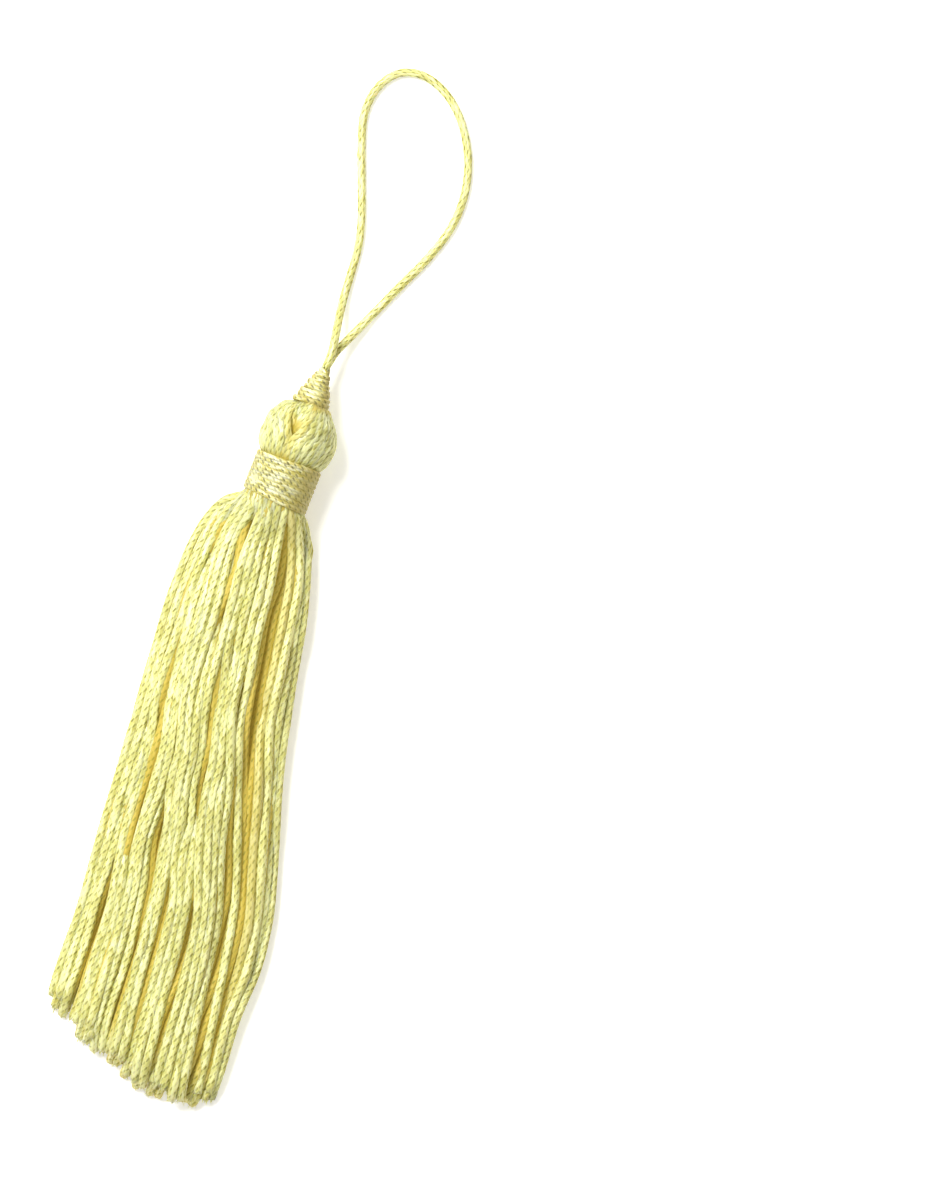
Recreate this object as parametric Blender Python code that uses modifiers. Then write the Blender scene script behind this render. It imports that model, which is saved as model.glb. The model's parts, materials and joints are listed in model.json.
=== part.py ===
"""A silk tassel lying flat on a table, as it is made: a hank of knitted yarn folded
over its cord, wound at the neck, tied at the waist and cut at the ends.

Blender units are metres. +Y runs along the tassel, from the cut ends to the hanging
loop, X runs across it, and +Z is up from the table at Z = 0. The origin is on the
table under the middle of the tassel, its loop left out. The tables below are in
millimetres, and MM turns them into metres where a mesh is made.
"""
import math

import bmesh
import bpy
import numpy as np
from mathutils import Matrix, Vector

MM = 0.001

# The head: its axis starts at the middle of the band's lower rim.
HEAD_FOOT = (-0.5, 32.1, 5.1)  # X, Y and height of that point
HEAD_TURN = math.radians(7.0)  # the head leans this far from +Y towards +X
WAIST_RADIUS = 3.95
SEAT_GAP = 0.3  # between pieces that touch

# The band: fine yarn wound round the waist.
BAND_LENGTH = 6.1
BAND_TURNS = 10
BAND_RADIUS = 4.8
BAND_GROOVE = 0.17
BAND_STEPS = 40

# The folded yarn of the head, in sections along its axis.
HEAD_COLUMNS = 56  # two for each yarn: its ridge and the groove beside it
HEAD_RIDGE = 0.15
HEAD_RINGS = 13
CROWN_SLANT = 0.12  # the crown's flat seat climbs this much for each unit to the right
HEAD_SECTIONS = (
    # along, left, right, top, bottom
    (-0.05, 3.95, 3.95, 3.95, 3.95),
    (6.05, 3.95, 3.95, 3.95, 3.95),
    (6.75, 4.85, 5.05, 4.60, 4.70),
    (8.30, 5.45, 5.50, 5.15, 5.40),
    (10.20, 5.50, 5.40, 5.30, 5.50),
    (12.00, 5.15, 4.65, 4.90, 5.10),
    (13.50, 4.55, 3.35, 4.00, 4.20),
    (14.45, 3.60, 2.35, 2.90, 3.00),
)
# The opening between the head's two lobes, along its top side.
EYELET = (
    # along, middle, half width, depth
    (6.5, -0.90, 0.30, 0.0),
    (8.0, -0.95, 0.40, 0.6),
    (10.0, -1.00, 0.60, 1.5),
    (12.0, -1.20, 1.10, 1.1),
    (14.4, -1.50, 1.60, 0.5),
)

# The winding at the neck, in sections along the same axis.
NECK_COLUMNS = 24
NECK_TURNS = 6
NECK_RIDGE = 0.09
NECK_SECTIONS = (
    # along, left, right, half height, droop
    (14.75, 3.05, 2.50, 2.75, 0.00),
    (16.50, 2.35, 1.85, 2.20, 0.25),
    (18.30, 1.62, 1.15, 1.80, 0.65),
    (19.80, 0.85, 0.65, 1.50, 1.05),
    (20.50, 0.68, 0.60, 1.42, 1.20),
)

# The hanging loop: one cord, both ends held in the neck.
CORD_DIAMETER = 1.2
CORD_POINT_SPACING = 2.9
CORD_ROUTE = (
    # x, y, height of the cord's middle
    (1.94, 52.76, 4.70),
    (2.12, 54.40, 4.60),
    (2.05, 56.50, 4.00),
    (1.80, 59.50, 2.45),
    (1.68, 62.60, 1.10),
    (1.80, 66.00, 0.64),
    (1.85, 70.00, 0.62),
    (1.25, 74.10, 0.62),
    (0.05, 78.80, 0.62),
    (-1.30, 84.00, 0.62),
    (-2.00, 88.30, 0.62),
    (-1.25, 92.00, 0.62),
    (0.95, 94.80, 0.62),
    (3.90, 95.60, 0.62),
    (6.80, 94.85, 0.62),
    (9.60, 92.85, 0.62),
    (12.00, 89.70, 0.62),
    (13.85, 85.30, 0.62),
    (14.50, 80.40, 0.62),
    (13.80, 75.70, 0.62),
    (11.80, 70.90, 0.62),
    (8.95, 66.00, 0.62),
    (6.20, 61.20, 0.75),
    (4.20, 57.60, 1.60),
    (2.75, 55.00, 2.65),
    (1.99, 52.75, 3.10),
)

# The skirt: a square grid of strands at the root, its four corner cells left plain.
GRID_SIDE = 10
STRANDS = GRID_SIDE ** 2 - 4
ROOT_ALONG = -0.35  # just under the band's lower rim
ROOT_RADIUS = 3.85
ROOT_DEPTH = 1.6
ROOT_INSET = 0.08  # of a grid cell, on each side of a strand
STRAND_FILL = 0.78  # a strand's side as a share of the space it takes
STRAND_GAP = 0.12
LOOSENESS = 1.15  # the pile's area over that of tightly packed strands
LENGTH_SPREAD = 0.9  # how far a cut end strays from the line of the cut
LOWEST_END = -52.55
# Below the band the root swells to this oval before the strands start to settle.
SHOULDER = (29.6, -0.06, 0.010, -7.90, 5.00, 0.90)  # as a section below
SHOULDER_HEIGHT = (0.5, 8.9)
SKIRT_SECTIONS = (
    # y, slope, bow, left, right, spacing of strands
    (26.8, -0.08, 0.015, -8.90, 6.30, 1.04),
    (22.0, -0.05, 0.010, -10.75, 7.35, 1.13),
    (15.0, 0.00, 0.000, -11.70, 8.50, 1.17),
    (4.0, 0.00, 0.000, -12.30, 9.20, 1.20),
    (-8.0, 0.00, 0.000, -12.40, 11.00, 1.20),
    (-20.0, 0.00, 0.000, -13.10, 13.10, 1.20),
    (-32.0, -0.10, 0.000, -13.00, 14.25, 1.20),
    (-50.3, -0.37, 0.015, -14.25, 12.60, 1.20),
)
# Where the skirt's upper side parts: depth, half width, and its line as (y, x).
PARTINGS = (
    ("between hank and side bunch", 2.6, 0.80,
     ((27.0, 2.2), (16.0, 3.4), (4.0, 4.0), (-5.0, 5.2), (-16.0, 7.3), (-28.0, 9.6), (-38.0, 10.3))),
    ("branch of it", 1.6, 0.50, ((-12.0, 5.4), (-25.5, 7.0), (-40.0, 7.8), (-50.0, 8.8))),
    ("upper left", 1.6, 0.50, ((26.0, -3.0), (23.7, -3.9), (8.0, -4.4))),
    ("outer left", 1.4, 0.45, ((2.0, -8.4), (-5.0, -8.0), (-16.0, -8.1))),
    ("upper middle", 1.4, 0.45, ((5.0, -1.4), (-5.0, -0.8), (-12.0, -0.9))),
    ("lower left", 2.2, 0.60, ((-18.0, -4.6), (-32.0, -4.2), (-46.0, -5.2))),
    ("far left", 2.4, 0.50, ((-27.0, -9.9), (-37.0, -10.5), (-45.0, -10.0))),
    ("lower middle", 1.4, 0.45, ((-26.0, -1.3), (-50.0, -1.2))),
    ("lower right", 1.6, 0.45, ((-30.0, 3.4), (-41.0, 2.3), (-52.0, 1.8))),
)
PARTING_FADE = 5.0  # beyond the two ends of its line
SETTLING_STEPS = 700
EASING_STEPS = 450  # the rest only part the strands from each other
STRAIGHTENING = 0.15
CROWDING = 0.3  # how far a strand above the outline moves inwards, as a share
SINKING = 0.004  # towards the table in each step

PALE_YARN = (0.80, 0.76, 0.30, 1.0)
WOUND_YARN = (0.74, 0.66, 0.22, 1.0)


def clear_scene():
    for old in list(bpy.data.objects):
        bpy.data.objects.remove(old, do_unlink=True)


def new_collection(name):
    collection = bpy.data.collections.new(name)
    bpy.context.scene.collection.children.link(collection)
    return collection


def yarn_material(name, color, roughness):
    material = bpy.data.materials.new(name)
    material.use_nodes = True
    shader = material.node_tree.nodes["Principled BSDF"]
    shader.inputs["Base Color"].default_value = color
    shader.inputs["Roughness"].default_value = roughness
    shader.inputs["Metallic"].default_value = 0.0
    return material


def new_object(name, data, collection, material):
    piece = bpy.data.objects.new(name, data)
    collection.objects.link(piece)
    data.materials.append(material)
    return piece


def mesh_from(bm, name):
    """Finish a bmesh, whose points are in millimetres, as a mesh in metres."""
    bmesh.ops.scale(bm, vec=(MM, MM, MM), verts=bm.verts)
    bmesh.ops.recalc_face_normals(bm, faces=bm.faces)
    mesh = bpy.data.meshes.new(name)
    bm.to_mesh(mesh)
    bm.free()
    return mesh


def loft(rings, name):
    """Skin a closed solid over rings of as many points each, flat at both ends."""
    bm = bmesh.new()
    rows = [[bm.verts.new(point) for point in ring] for ring in rings]
    count = len(rows[0])
    for low, high in zip(rows, rows[1:]):
        for i in range(count):
            j = (i + 1) % count
            bm.faces.new((low[i], low[j], high[j], high[i]))
    bm.faces.new(rows[0])
    bm.faces.new(rows[-1])
    return mesh_from(bm, name)


def smooth_through(points, samples):
    """Read evenly many points from a smooth curve through the given ones."""
    points = np.array(points, dtype=float)
    before = 2.0 * points[0] - points[1]
    after = 2.0 * points[-1] - points[-2]
    padded = np.vstack([before, points, after])
    read = []
    for place in np.linspace(0.0, len(points) - 1.0, samples):
        i = min(int(place), len(points) - 2)
        t = place - i
        a, b, c, d = padded[i:i + 4]
        bend = (2 * a - 5 * b + 4 * c - d) * t * t + (3 * b - a - 3 * c + d) * t ** 3
        read.append(b + 0.5 * ((c - a) * t + bend))
    return np.array(read)


def evenly_spaced(points, spacing):
    """Space the points of a fine polyline evenly, at about the spacing given."""
    steps = np.linalg.norm(np.diff(points, axis=0), axis=1)
    reach = np.concatenate([[0.0], np.cumsum(steps)])
    count = round(reach[-1] / spacing) + 1
    places = np.linspace(0.0, reach[-1], count)
    return np.stack([np.interp(places, reach, points[:, i]) for i in range(3)], axis=1)


def lopsided(turn, left, right, top, bottom):
    """A point of an oval whose four half axes differ."""
    across = math.cos(turn) * (right if math.cos(turn) > 0.0 else left)
    up = math.sin(turn) * (top if math.sin(turn) > 0.0 else bottom)
    return across, up


def eyelet_depth(across, along):
    """How far the opening between the lobes sinks the head's top side here."""
    table = np.array(EYELET)
    middle, half_width, depth = (
        np.interp(along, table[:, 0], table[:, i]) for i in (1, 2, 3)
    )
    return depth * math.exp(-(((across - middle) / half_width) ** 2))


def head_rings():
    """Sections of the waist and the folded head, as points (across, along, up)."""
    waist, bulb = HEAD_SECTIONS[:2], HEAD_SECTIONS[1:]
    sections = [waist[0]] + list(smooth_through(bulb, HEAD_RINGS))
    rings = []
    for along, left, right, top, bottom in sections:
        swell = min(1.0, max(0.0, (along - waist[1][0]) / 1.5))
        crown = min(1.0, max(0.0, (along - 9.0) / (bulb[-1][0] - 9.0)))
        ring = []
        for i in range(HEAD_COLUMNS):
            turn = 2.0 * math.pi * i / HEAD_COLUMNS
            across, up = lopsided(turn, left, right, top, bottom)
            ridge = HEAD_RIDGE * swell * (1.0 if i % 2 else -1.0)
            across += ridge * math.cos(turn)
            up += ridge * math.sin(turn)
            if up > 0.0:
                up -= eyelet_depth(across, along)
            up = max(up, -HEAD_FOOT[2])
            ring.append((across, along + CROWN_SLANT * crown * across, up))
        rings.append(ring)
    return rings


def neck_rings():
    """Sections of the wound neck, a ridge and a groove for each turn of yarn."""
    base = NECK_SECTIONS[0][0]
    length = NECK_SECTIONS[-1][0] - base
    rings = []
    for i, row in enumerate(smooth_through(NECK_SECTIONS, 2 * NECK_TURNS + 1)):
        along, left, right, half_height, droop = row
        slant = CROWN_SLANT * (1.0 - (along - base) / length)
        ridge = NECK_RIDGE * (1.0 if i % 2 else -1.0)
        ring = []
        for j in range(NECK_COLUMNS):
            turn = 2.0 * math.pi * j / NECK_COLUMNS
            across, up = lopsided(turn, left, right, half_height, half_height)
            across += ridge * math.cos(turn)
            up += ridge * math.sin(turn)
            ring.append((across, along + slant * across, up - droop))
        rings.append(ring)
    return rings


def head_matrix():
    """Place points (across, along, up) of the head's own frame, in millimetres."""
    return Matrix.Translation(Vector(HEAD_FOOT)) @ Matrix.Rotation(-HEAD_TURN, 4, "Z")


def section_y(section, x):
    """Skirt sections slope and bow with the flow of the strands."""
    y, slope, bow = section[:3]
    return y + slope * x + bow * x * x


def pile_outline(section):
    """Samples across a section, and how high the pile is at each.

    The count of strands and the space each takes give the pile's height.
    """
    left, right, spacing = section[3:]
    across = np.linspace(left, right, 241)
    share = np.abs(2.0 * (across - left) / (right - left) - 1.0)
    arch = (1.0 - share ** 2.4) ** 0.6
    along = section_y(section, across)
    sunk = np.zeros_like(across)
    for _, depth, half_width, line in PARTINGS:
        ys, xs = np.array(line[::-1]).T
        beyond = np.maximum(ys[0] - along, along - ys[-1])
        fade = np.clip(1.0 - beyond / PARTING_FADE, 0.0, 1.0)
        off = (across - np.interp(along, ys, xs)) / half_width
        sunk += depth * fade * np.exp(-off * off)
    need = STRANDS * 0.866 * spacing ** 2 * LOOSENESS / (right - left)
    crown = (need - spacing + sunk.mean()) / arch.mean()
    return across, spacing + crown * arch - sunk


def root_cells():
    """Grid place of each strand, its cell's middle in a square from -1 to 1."""
    middles = (np.arange(GRID_SIDE) + 0.5) * 2.0 / GRID_SIDE - 1.0
    corner = (0, GRID_SIDE - 1)
    return [
        (i, j, middles[i], middles[j])
        for i in range(GRID_SIDE)
        for j in range(GRID_SIDE)
        if not (i in corner and j in corner)
    ]


def in_disc(across, up):
    """Map the square from -1 to 1 onto the round root."""
    return (
        across * np.sqrt(1.0 - 0.5 * up * up),
        up * np.sqrt(1.0 - 0.5 * across * across),
    )


def fanned_points():
    """Each strand's middle where it leaves the waist, and at the shoulder below."""
    across, up = in_disc(*np.array([cell[2:] for cell in root_cells()]).T)
    to_table = head_matrix()
    root = [
        tuple(to_table @ Vector((ROOT_RADIUS * x, ROOT_ALONG, ROOT_RADIUS * z)))
        for x, z in zip(across, up)
    ]
    left, right = SHOULDER[3:5]
    low, high = SHOULDER_HEIGHT
    x = 0.5 * (left + right) + 0.5 * (right - left) * across
    z = 0.5 * (low + high) + 0.5 * (high - low) * up
    return np.stack([root, np.stack([x, section_y(SHOULDER, x), z], axis=1)])


def pushed_apart(x, z, spacing):
    """How far each strand moves to clear the strands that overlap it in a section."""
    over = x[:, :, None] - x[:, None]
    up = z[:, :, None] - z[:, None]
    distance = np.sqrt(over ** 2 + up ** 2) + 1e-9
    push = np.clip(spacing[:, :, None] / distance - 1.0, 0.0, 1.0)
    push[:, range(STRANDS), range(STRANDS)] = 0.0
    return 0.45 * (over * push).sum(axis=2), 0.45 * (up * push).sum(axis=2)


def settled_strands():
    """Middle of each strand at its root and in each section, to its cut end.

    Every strand starts where its cell would lie if the root were pressed into the
    section's outline. Then strands that overlap, in a section or half way to the
    next, push each other apart. They also sink towards the table, run straight with
    the skirt's outline and stay inside the pile.
    """
    dice = np.random.default_rng(7)
    across, up = in_disc(*np.array([cell[2:] for cell in root_cells()]).T)
    across = np.clip(across + dice.normal(0.0, 0.04, STRANDS), -0.98, 0.98)
    up = up + dice.normal(0.0, 0.04, STRANDS)
    share_up = np.clip(0.5 + 0.5 * up / np.sqrt(1.0 - across ** 2), 0.0, 1.0)

    left, right, spacing = np.array(SKIRT_SECTIONS)[:, 3:6, None].transpose(1, 0, 2)
    outlines = [pile_outline(section) for section in SKIRT_SECTIONS]
    fan = fanned_points()
    halfway = 0.5 * (np.vstack([[[SHOULDER[5]]], spacing[:-1]]) + spacing)
    side = 0.5 * STRAND_FILL * spacing

    def highest(x):
        heights = [np.interp(row, *outline) for row, outline in zip(x, outlines)]
        return np.maximum(np.stack(heights) - 0.5 * spacing, 0.5 * spacing)

    x = 0.5 * (left + right) + 0.5 * (right - left - spacing) * across
    z = 0.5 * spacing + share_up * (highest(x) - 0.5 * spacing)
    for step in range(SETTLING_STEPS):
        if step < EASING_STEPS:
            share = (x - left) / (right - left)
            ease = STRAIGHTENING * (0.5 * (share[:-2] + share[2:]) - share[1:-1])
            x[1:-1] += ease * (right - left)[1:-1]
            z[1:-1] += STRAIGHTENING * (0.5 * (z[:-2] + z[2:]) - z[1:-1])
            z -= SINKING
        over, up = pushed_apart(x, z, spacing)
        x, z = x + over, z + up
        x_before = np.vstack([fan[1, :, 0], x[:-1]])
        z_before = np.vstack([fan[1, :, 2], z[:-1]])
        over, up = pushed_apart(0.5 * (x_before + x), 0.5 * (z_before + z), halfway)
        x += over
        z += up
        x[:-1] += over[1:]
        z[:-1] += up[1:]
        x = np.clip(x, left + side, right - side)
        high = highest(x)
        outward = 2.0 * (x - left) / (right - left) - 1.0
        x -= CROWDING * outward * np.clip(z - high, 0.0, spacing)
        z = np.clip(z, 0.5 * spacing, high)

    y = np.stack([section_y(section, row) for section, row in zip(SKIRT_SECTIONS, x)])
    stray = dice.uniform(-LENGTH_SPREAD, LENGTH_SPREAD, STRANDS)
    y[-1] = np.maximum(y[-1] + stray, LOWEST_END)
    return np.concatenate([fan, np.stack([x, y, z], axis=2)])


def strand_spacing():
    """The space a strand takes at its root, at the shoulder and in each section."""
    sections = (SHOULDER, *SKIRT_SECTIONS)
    return np.array([2.0 * ROOT_RADIUS / GRID_SIDE] + [section[5] for section in sections])


def strand_sides(points):
    """Side of each strand's square section: full, or less where strands crowd.

    Between two sections a strand runs straight, so its distance from each neighbour
    is read at steps from one section to the next.
    """
    spacing = strand_spacing()
    sides = np.repeat(STRAND_FILL * spacing[:, None], STRANDS, axis=1)
    away = points[:, :, None, ::2] - points[:, None, :, ::2]
    far = 9.0 * np.eye(STRANDS)
    for k in range(len(points) - 1):
        for share in np.linspace(0.0, 1.0, 11):
            apart = np.abs((1.0 - share) * away[k] + share * away[k + 1]).max(axis=2)
            room = (apart + far).min(axis=1) - STRAND_GAP
            sides[k] = np.minimum(sides[k], room)
            sides[k + 1] = np.minimum(sides[k + 1], room)
    return sides


def skirt_mesh():
    """The root plate with the strands drawn out of its cells, section by section."""
    points = settled_strands()
    sides = strand_sides(points)
    settling = 0.5 * (1.0 - STRAND_FILL) * strand_spacing()
    to_table = head_matrix()
    bm = bmesh.new()
    bmesh.ops.create_grid(bm, x_segments=GRID_SIDE, y_segments=GRID_SIDE, size=1.0)
    by_cell = {}
    for face in bm.faces:
        middle = face.calc_center_median()
        i = int((middle.x + 1.0) * 0.5 * GRID_SIDE)
        j = int((middle.y + 1.0) * 0.5 * GRID_SIDE)
        by_cell[i, j] = face
    roots = [by_cell[i, j] for i, j, _, _ in root_cells()]
    bmesh.ops.inset_individual(bm, faces=roots, thickness=ROOT_INSET * 2.0 / GRID_SIDE)

    plate = list(bm.faces)
    lifted = bmesh.ops.extrude_face_region(bm, geom=plate, use_keep_orig=True)["geom"]
    top = {piece for piece in lifted if isinstance(piece, bmesh.types.BMVert)}
    for vert in bm.verts:
        across, up = in_disc(vert.co.x, vert.co.y)
        along = ROOT_ALONG + (ROOT_DEPTH if vert in top else 0.0)
        vert.co = to_table @ Vector((ROOT_RADIUS * across, along, ROOT_RADIUS * up))

    for n, face in enumerate(roots):
        for k in range(1, len(points)):
            half = 0.5 * sides[k, n]
            x, y, height = points[k, n]
            up = max(half, height - settling[k])
            face = bmesh.ops.extrude_discrete_faces(bm, faces=[face])["faces"][0]
            middle = face.calc_center_median()
            for vert in face.verts:
                over = math.copysign(half, vert.co.x - middle.x)
                rise = math.copysign(half, vert.co.z - middle.z)
                vert.co = (x + over, y, up + rise)
    return mesh_from(bm, "skirt")


def build_hank(parts, cutters):
    """Head, waist and skirt: one hank of yarn, fused where the band grips it."""
    material = yarn_material("pale_yarn", PALE_YARN, 0.45)
    skirt = new_object("skirt_to_join", skirt_mesh(), cutters, material)
    skirt.hide_render = True
    skirt.display_type = "WIRE"
    place = head_matrix()
    rings = [[place @ Vector(point) for point in ring] for ring in head_rings()]
    hank = new_object("yarn_hank", loft(rings, "hank"), parts, material)
    join = hank.modifiers.new("join_skirt", "BOOLEAN")
    join.operation = "UNION"
    join.object = skirt
    return hank


def build_band(parts, axis):
    """Turns of fine yarn, as a ridged ring clear of the waist all round."""
    pitch = BAND_LENGTH / BAND_TURNS
    inner = WAIST_RADIUS + SEAT_GAP
    profile = []
    for i in range(2 * BAND_TURNS, -1, -1):
        sunk = 0.0 if i % 2 else BAND_GROOVE
        profile.append((BAND_RADIUS - sunk, 0.5 * pitch * i))
    profile += [(inner, 0.0), (inner, BAND_LENGTH)]
    mesh = bpy.data.meshes.new("band")
    points = [(x * MM, y * MM, 0.0) for x, y in profile]
    edges = [(i, (i + 1) % len(points)) for i in range(len(points))]
    mesh.from_pydata(points, edges, [])
    band = new_object("waist_band", mesh, parts, yarn_material("band_yarn", WOUND_YARN, 0.4))
    band.parent = axis
    turn = band.modifiers.new("wind", "SCREW")
    turn.axis = "Y"
    turn.steps = BAND_STEPS
    turn.render_steps = BAND_STEPS
    turn.use_merge_vertices = True
    turn.merge_threshold = 0.00001
    return band


def build_neck(parts, axis):
    """The wound cone that grips the two ends of the cord."""
    neck = new_object(
        "neck_whipping",
        loft(neck_rings(), "neck"),
        parts,
        yarn_material("neck_yarn", WOUND_YARN, 0.4),
    )
    neck.parent = axis
    return neck


def build_loop(parts):
    """The free loop of cord, down from the neck and round on the table."""
    fine = smooth_through(CORD_ROUTE, 40 * len(CORD_ROUTE))
    route = evenly_spaced(fine, CORD_POINT_SPACING)
    curve = bpy.data.curves.new("loop", "CURVE")
    curve.dimensions = "3D"
    curve.bevel_depth = 0.5 * CORD_DIAMETER * MM
    curve.bevel_resolution = 2
    curve.use_fill_caps = True
    spline = curve.splines.new("POLY")
    spline.points.add(len(route) - 1)
    for point, place in zip(spline.points, route):
        point.co = (place[0] * MM, place[1] * MM, place[2] * MM, 1.0)
    material = yarn_material("cord_yarn", PALE_YARN, 0.45)
    return new_object("hanging_loop", curve, parts, material)


def smooth_shading(piece):
    piece.data.shade_smooth()
    piece.data.set_sharp_from_angle(angle=math.radians(50.0))


def main():
    clear_scene()
    parts = new_collection("silk_tassel")
    cutters = new_collection("joining_solids")
    axis = bpy.data.objects.new("head_axis", None)
    parts.objects.link(axis)
    axis.matrix_world = Matrix.Translation(Vector(HEAD_FOOT) * MM) @ Matrix.Rotation(
        -HEAD_TURN, 4, "Z"
    )
    hank = build_hank(parts, cutters)
    neck = build_neck(parts, axis)
    build_band(parts, axis)
    build_loop(parts)
    for piece in (hank, neck):
        smooth_shading(piece)
    bpy.context.view_layer.update()


main()
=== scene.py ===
# %% [markdown]
# # A silk tassel, dressed
#
# A tassel is nothing but yarn: a hank folded over a cord, tied at the waist and cut at
# the ends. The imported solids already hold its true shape, with one square strand for
# each yarn. This script dresses them in finely knitted silk: it drapes yarns on the
# skirt, lays them round the head, winds the band and the neck, and lays the hanging
# loop.
#
# Lengths in this script are in millimetres until a mesh is made, and MM turns them
# into metres.

import json
import math

import bmesh
import bpy
import numpy as np
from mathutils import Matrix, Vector
from mathutils.bvhtree import BVHTree

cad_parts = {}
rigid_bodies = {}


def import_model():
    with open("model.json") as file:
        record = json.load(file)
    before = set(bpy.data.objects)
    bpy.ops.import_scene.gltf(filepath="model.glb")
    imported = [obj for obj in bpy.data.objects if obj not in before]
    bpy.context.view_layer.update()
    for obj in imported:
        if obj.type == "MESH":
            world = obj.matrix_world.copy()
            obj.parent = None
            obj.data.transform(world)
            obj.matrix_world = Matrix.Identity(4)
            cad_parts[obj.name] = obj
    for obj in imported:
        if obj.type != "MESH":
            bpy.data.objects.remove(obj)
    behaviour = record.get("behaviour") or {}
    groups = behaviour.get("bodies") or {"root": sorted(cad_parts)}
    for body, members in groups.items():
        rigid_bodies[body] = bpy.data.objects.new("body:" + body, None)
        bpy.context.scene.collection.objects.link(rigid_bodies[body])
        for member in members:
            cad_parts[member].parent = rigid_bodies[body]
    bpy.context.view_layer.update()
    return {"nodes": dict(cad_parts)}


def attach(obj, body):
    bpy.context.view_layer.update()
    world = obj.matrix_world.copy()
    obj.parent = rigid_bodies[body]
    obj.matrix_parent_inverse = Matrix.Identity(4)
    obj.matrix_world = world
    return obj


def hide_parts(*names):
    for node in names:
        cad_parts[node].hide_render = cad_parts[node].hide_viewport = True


for old in list(bpy.data.objects):
    bpy.data.objects.remove(old, do_unlink=True)
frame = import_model()

MM = 0.001
dice = np.random.default_rng(11)

# %% [markdown]
# ## What a chainette yarn looks like
#
# Tassel makers use chainette: fine silk filaments knitted into a narrow tube, four
# columns of stitches round it. Each stitch is a V, and its two legs are the slanted
# bright dashes that make the yarn sparkle. A bump map would fade at the yarn's edge,
# so the stitches are real relief here. The trick is to shear the rings of the tube:
# each ring zigzags along the Vs, so three rings to a stitch are enough to give every
# leg a crest and every gap a valley.

# %% Read smooth lines through a few points
CURVE_STEPS = 12  # from one given point to the next
FEWEST_POINTS = 4


def smooth_line(points, spacing=0.5):
    """A dense line, evenly spaced, on a smooth curve through the points."""
    points = np.asarray(points, dtype=float)
    padded = np.vstack([2 * points[0] - points[1], points, 2 * points[-1] - points[-2]])
    t = np.linspace(0.0, 1.0, CURVE_STEPS, endpoint=False)[:, None]
    pieces = []
    for a, b, c, d in zip(padded, padded[1:], padded[2:], padded[3:]):
        bend = (2 * a - 5 * b + 4 * c - d) * t ** 2 + (3 * b - a - 3 * c + d) * t ** 3
        pieces.append(b + 0.5 * ((c - a) * t + bend))
    line = np.vstack(pieces + [points[-1:]])
    steps = np.linalg.norm(np.diff(line, axis=0), axis=1)
    reach = np.concatenate([[0.0], np.cumsum(steps)])
    count = max(FEWEST_POINTS, round(reach[-1] / spacing) + 1)
    places = np.linspace(0.0, reach[-1], count)
    return np.stack([np.interp(places, reach, column) for column in line.T], axis=1)


def length_of(line):
    return float(np.linalg.norm(np.diff(line, axis=0), axis=1).sum())


def unit(vectors):
    return vectors / np.linalg.norm(vectors, axis=-1, keepdims=True)


def frames_along(line, outward=None):
    """Unit vectors across and up for each point: up is outward, or carried along untwisted."""
    ahead = unit(np.gradient(line, axis=0))
    if outward is not None:
        ups = unit(outward - ahead * (outward * ahead).sum(axis=1, keepdims=True))
        return np.cross(ahead, ups), ups
    too_steep = abs(ahead[0, 2]) >= 0.9
    start = np.array([1.0, 0.0, 0.0] if too_steep else [0.0, 0.0, 1.0])
    ups = [unit(start - ahead[0] * (start @ ahead[0]))]
    for direction in ahead[1:]:
        ups.append(unit(ups[-1] - direction * (ups[-1] @ direction)))
    return np.cross(ahead, np.array(ups)), np.array(ups)


# %% Knit a tube along a line
STITCH = 1.3  # from one V to the next
FEWEST_STITCHES = 2
V_SLANT = 0.78  # how far a V's legs rise, in stitches
LEG_RISE = (1.0, 0.5, 0.0, 0.5)  # between columns, leg, middle of the V, leg
ROW_PLACES = (0.0, 0.25, 0.62)  # of a stitch
STITCH_RADII = np.array([
    # between columns, leg, middle of the V, leg
    (0.86, 0.95, 1.00, 0.95),
    (0.82, 1.02, 0.89, 1.02),
    (0.94, 1.02, 0.83, 1.02),
])


def knitted_tube(line, radius, columns=4, stitch=STITCH, roll=0.0, twist=0.0, flat=1.0,
                 outward=None, **marks):
    """A closed knitted tube: points by ring and side, with its stitch numbers."""
    reach = np.linspace(0.0, length_of(line), len(line))
    across, up = frames_along(line, outward)
    stitches = max(FEWEST_STITCHES, round((reach[-1] - stitch) / stitch))
    pitch = reach[-1] / (stitches + V_SLANT)
    number = (np.arange(stitches)[:, None] + np.array(ROW_PLACES)).ravel()
    number = np.append(number, stitches)
    sides = len(LEG_RISE) * columns
    rise = np.tile(LEG_RISE, columns) * V_SLANT
    at = (number[:, None] + rise) * pitch
    if callable(radius):
        radius = radius(at / reach[-1])
    relief = np.tile(STITCH_RADII, (stitches, columns))
    size = radius * np.vstack([relief, relief[:1]])
    turn = 2 * np.pi * np.arange(sides) / sides + roll + twist * at
    points = sum(
        np.stack([np.interp(at, reach, axis[:, i]) for i in range(3)], axis=-1) * weight
        for axis, weight in (
            (line, 1.0),
            (across, (size / flat * np.cos(turn))[..., None]),
            (up, (size * flat * np.sin(turn))[..., None]),
        )
    )
    return {"points": points, "number": number, "middle": line, "reach": at / reach[-1], **marks}


def plain_tube(rings, number, **marks):
    """A closed form without stitches, from its rings of points."""
    rings = np.array(rings)
    return {"points": rings, "number": number, "reach": np.zeros(rings.shape[:2]), **marks}


# %% [markdown]
# The yarns of a layer become one mesh, because a hundred objects would be slow to handle.
# Each tube keeps a lane of its own in the texture map, so that a baked image of the
# silk never runs from one yarn into the next. The mesh also carries what the material
# needs: the stitch numbers, a depth for each point, which is how deep it lies and also
# where a golden shade is painted, and a random shade of colour for each yarn.

# %% Gather the points and marks of all tubes
LANE_MARGIN = 0.03  # of a lane
END_MARGIN = 0.002  # of a tube's length


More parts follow.
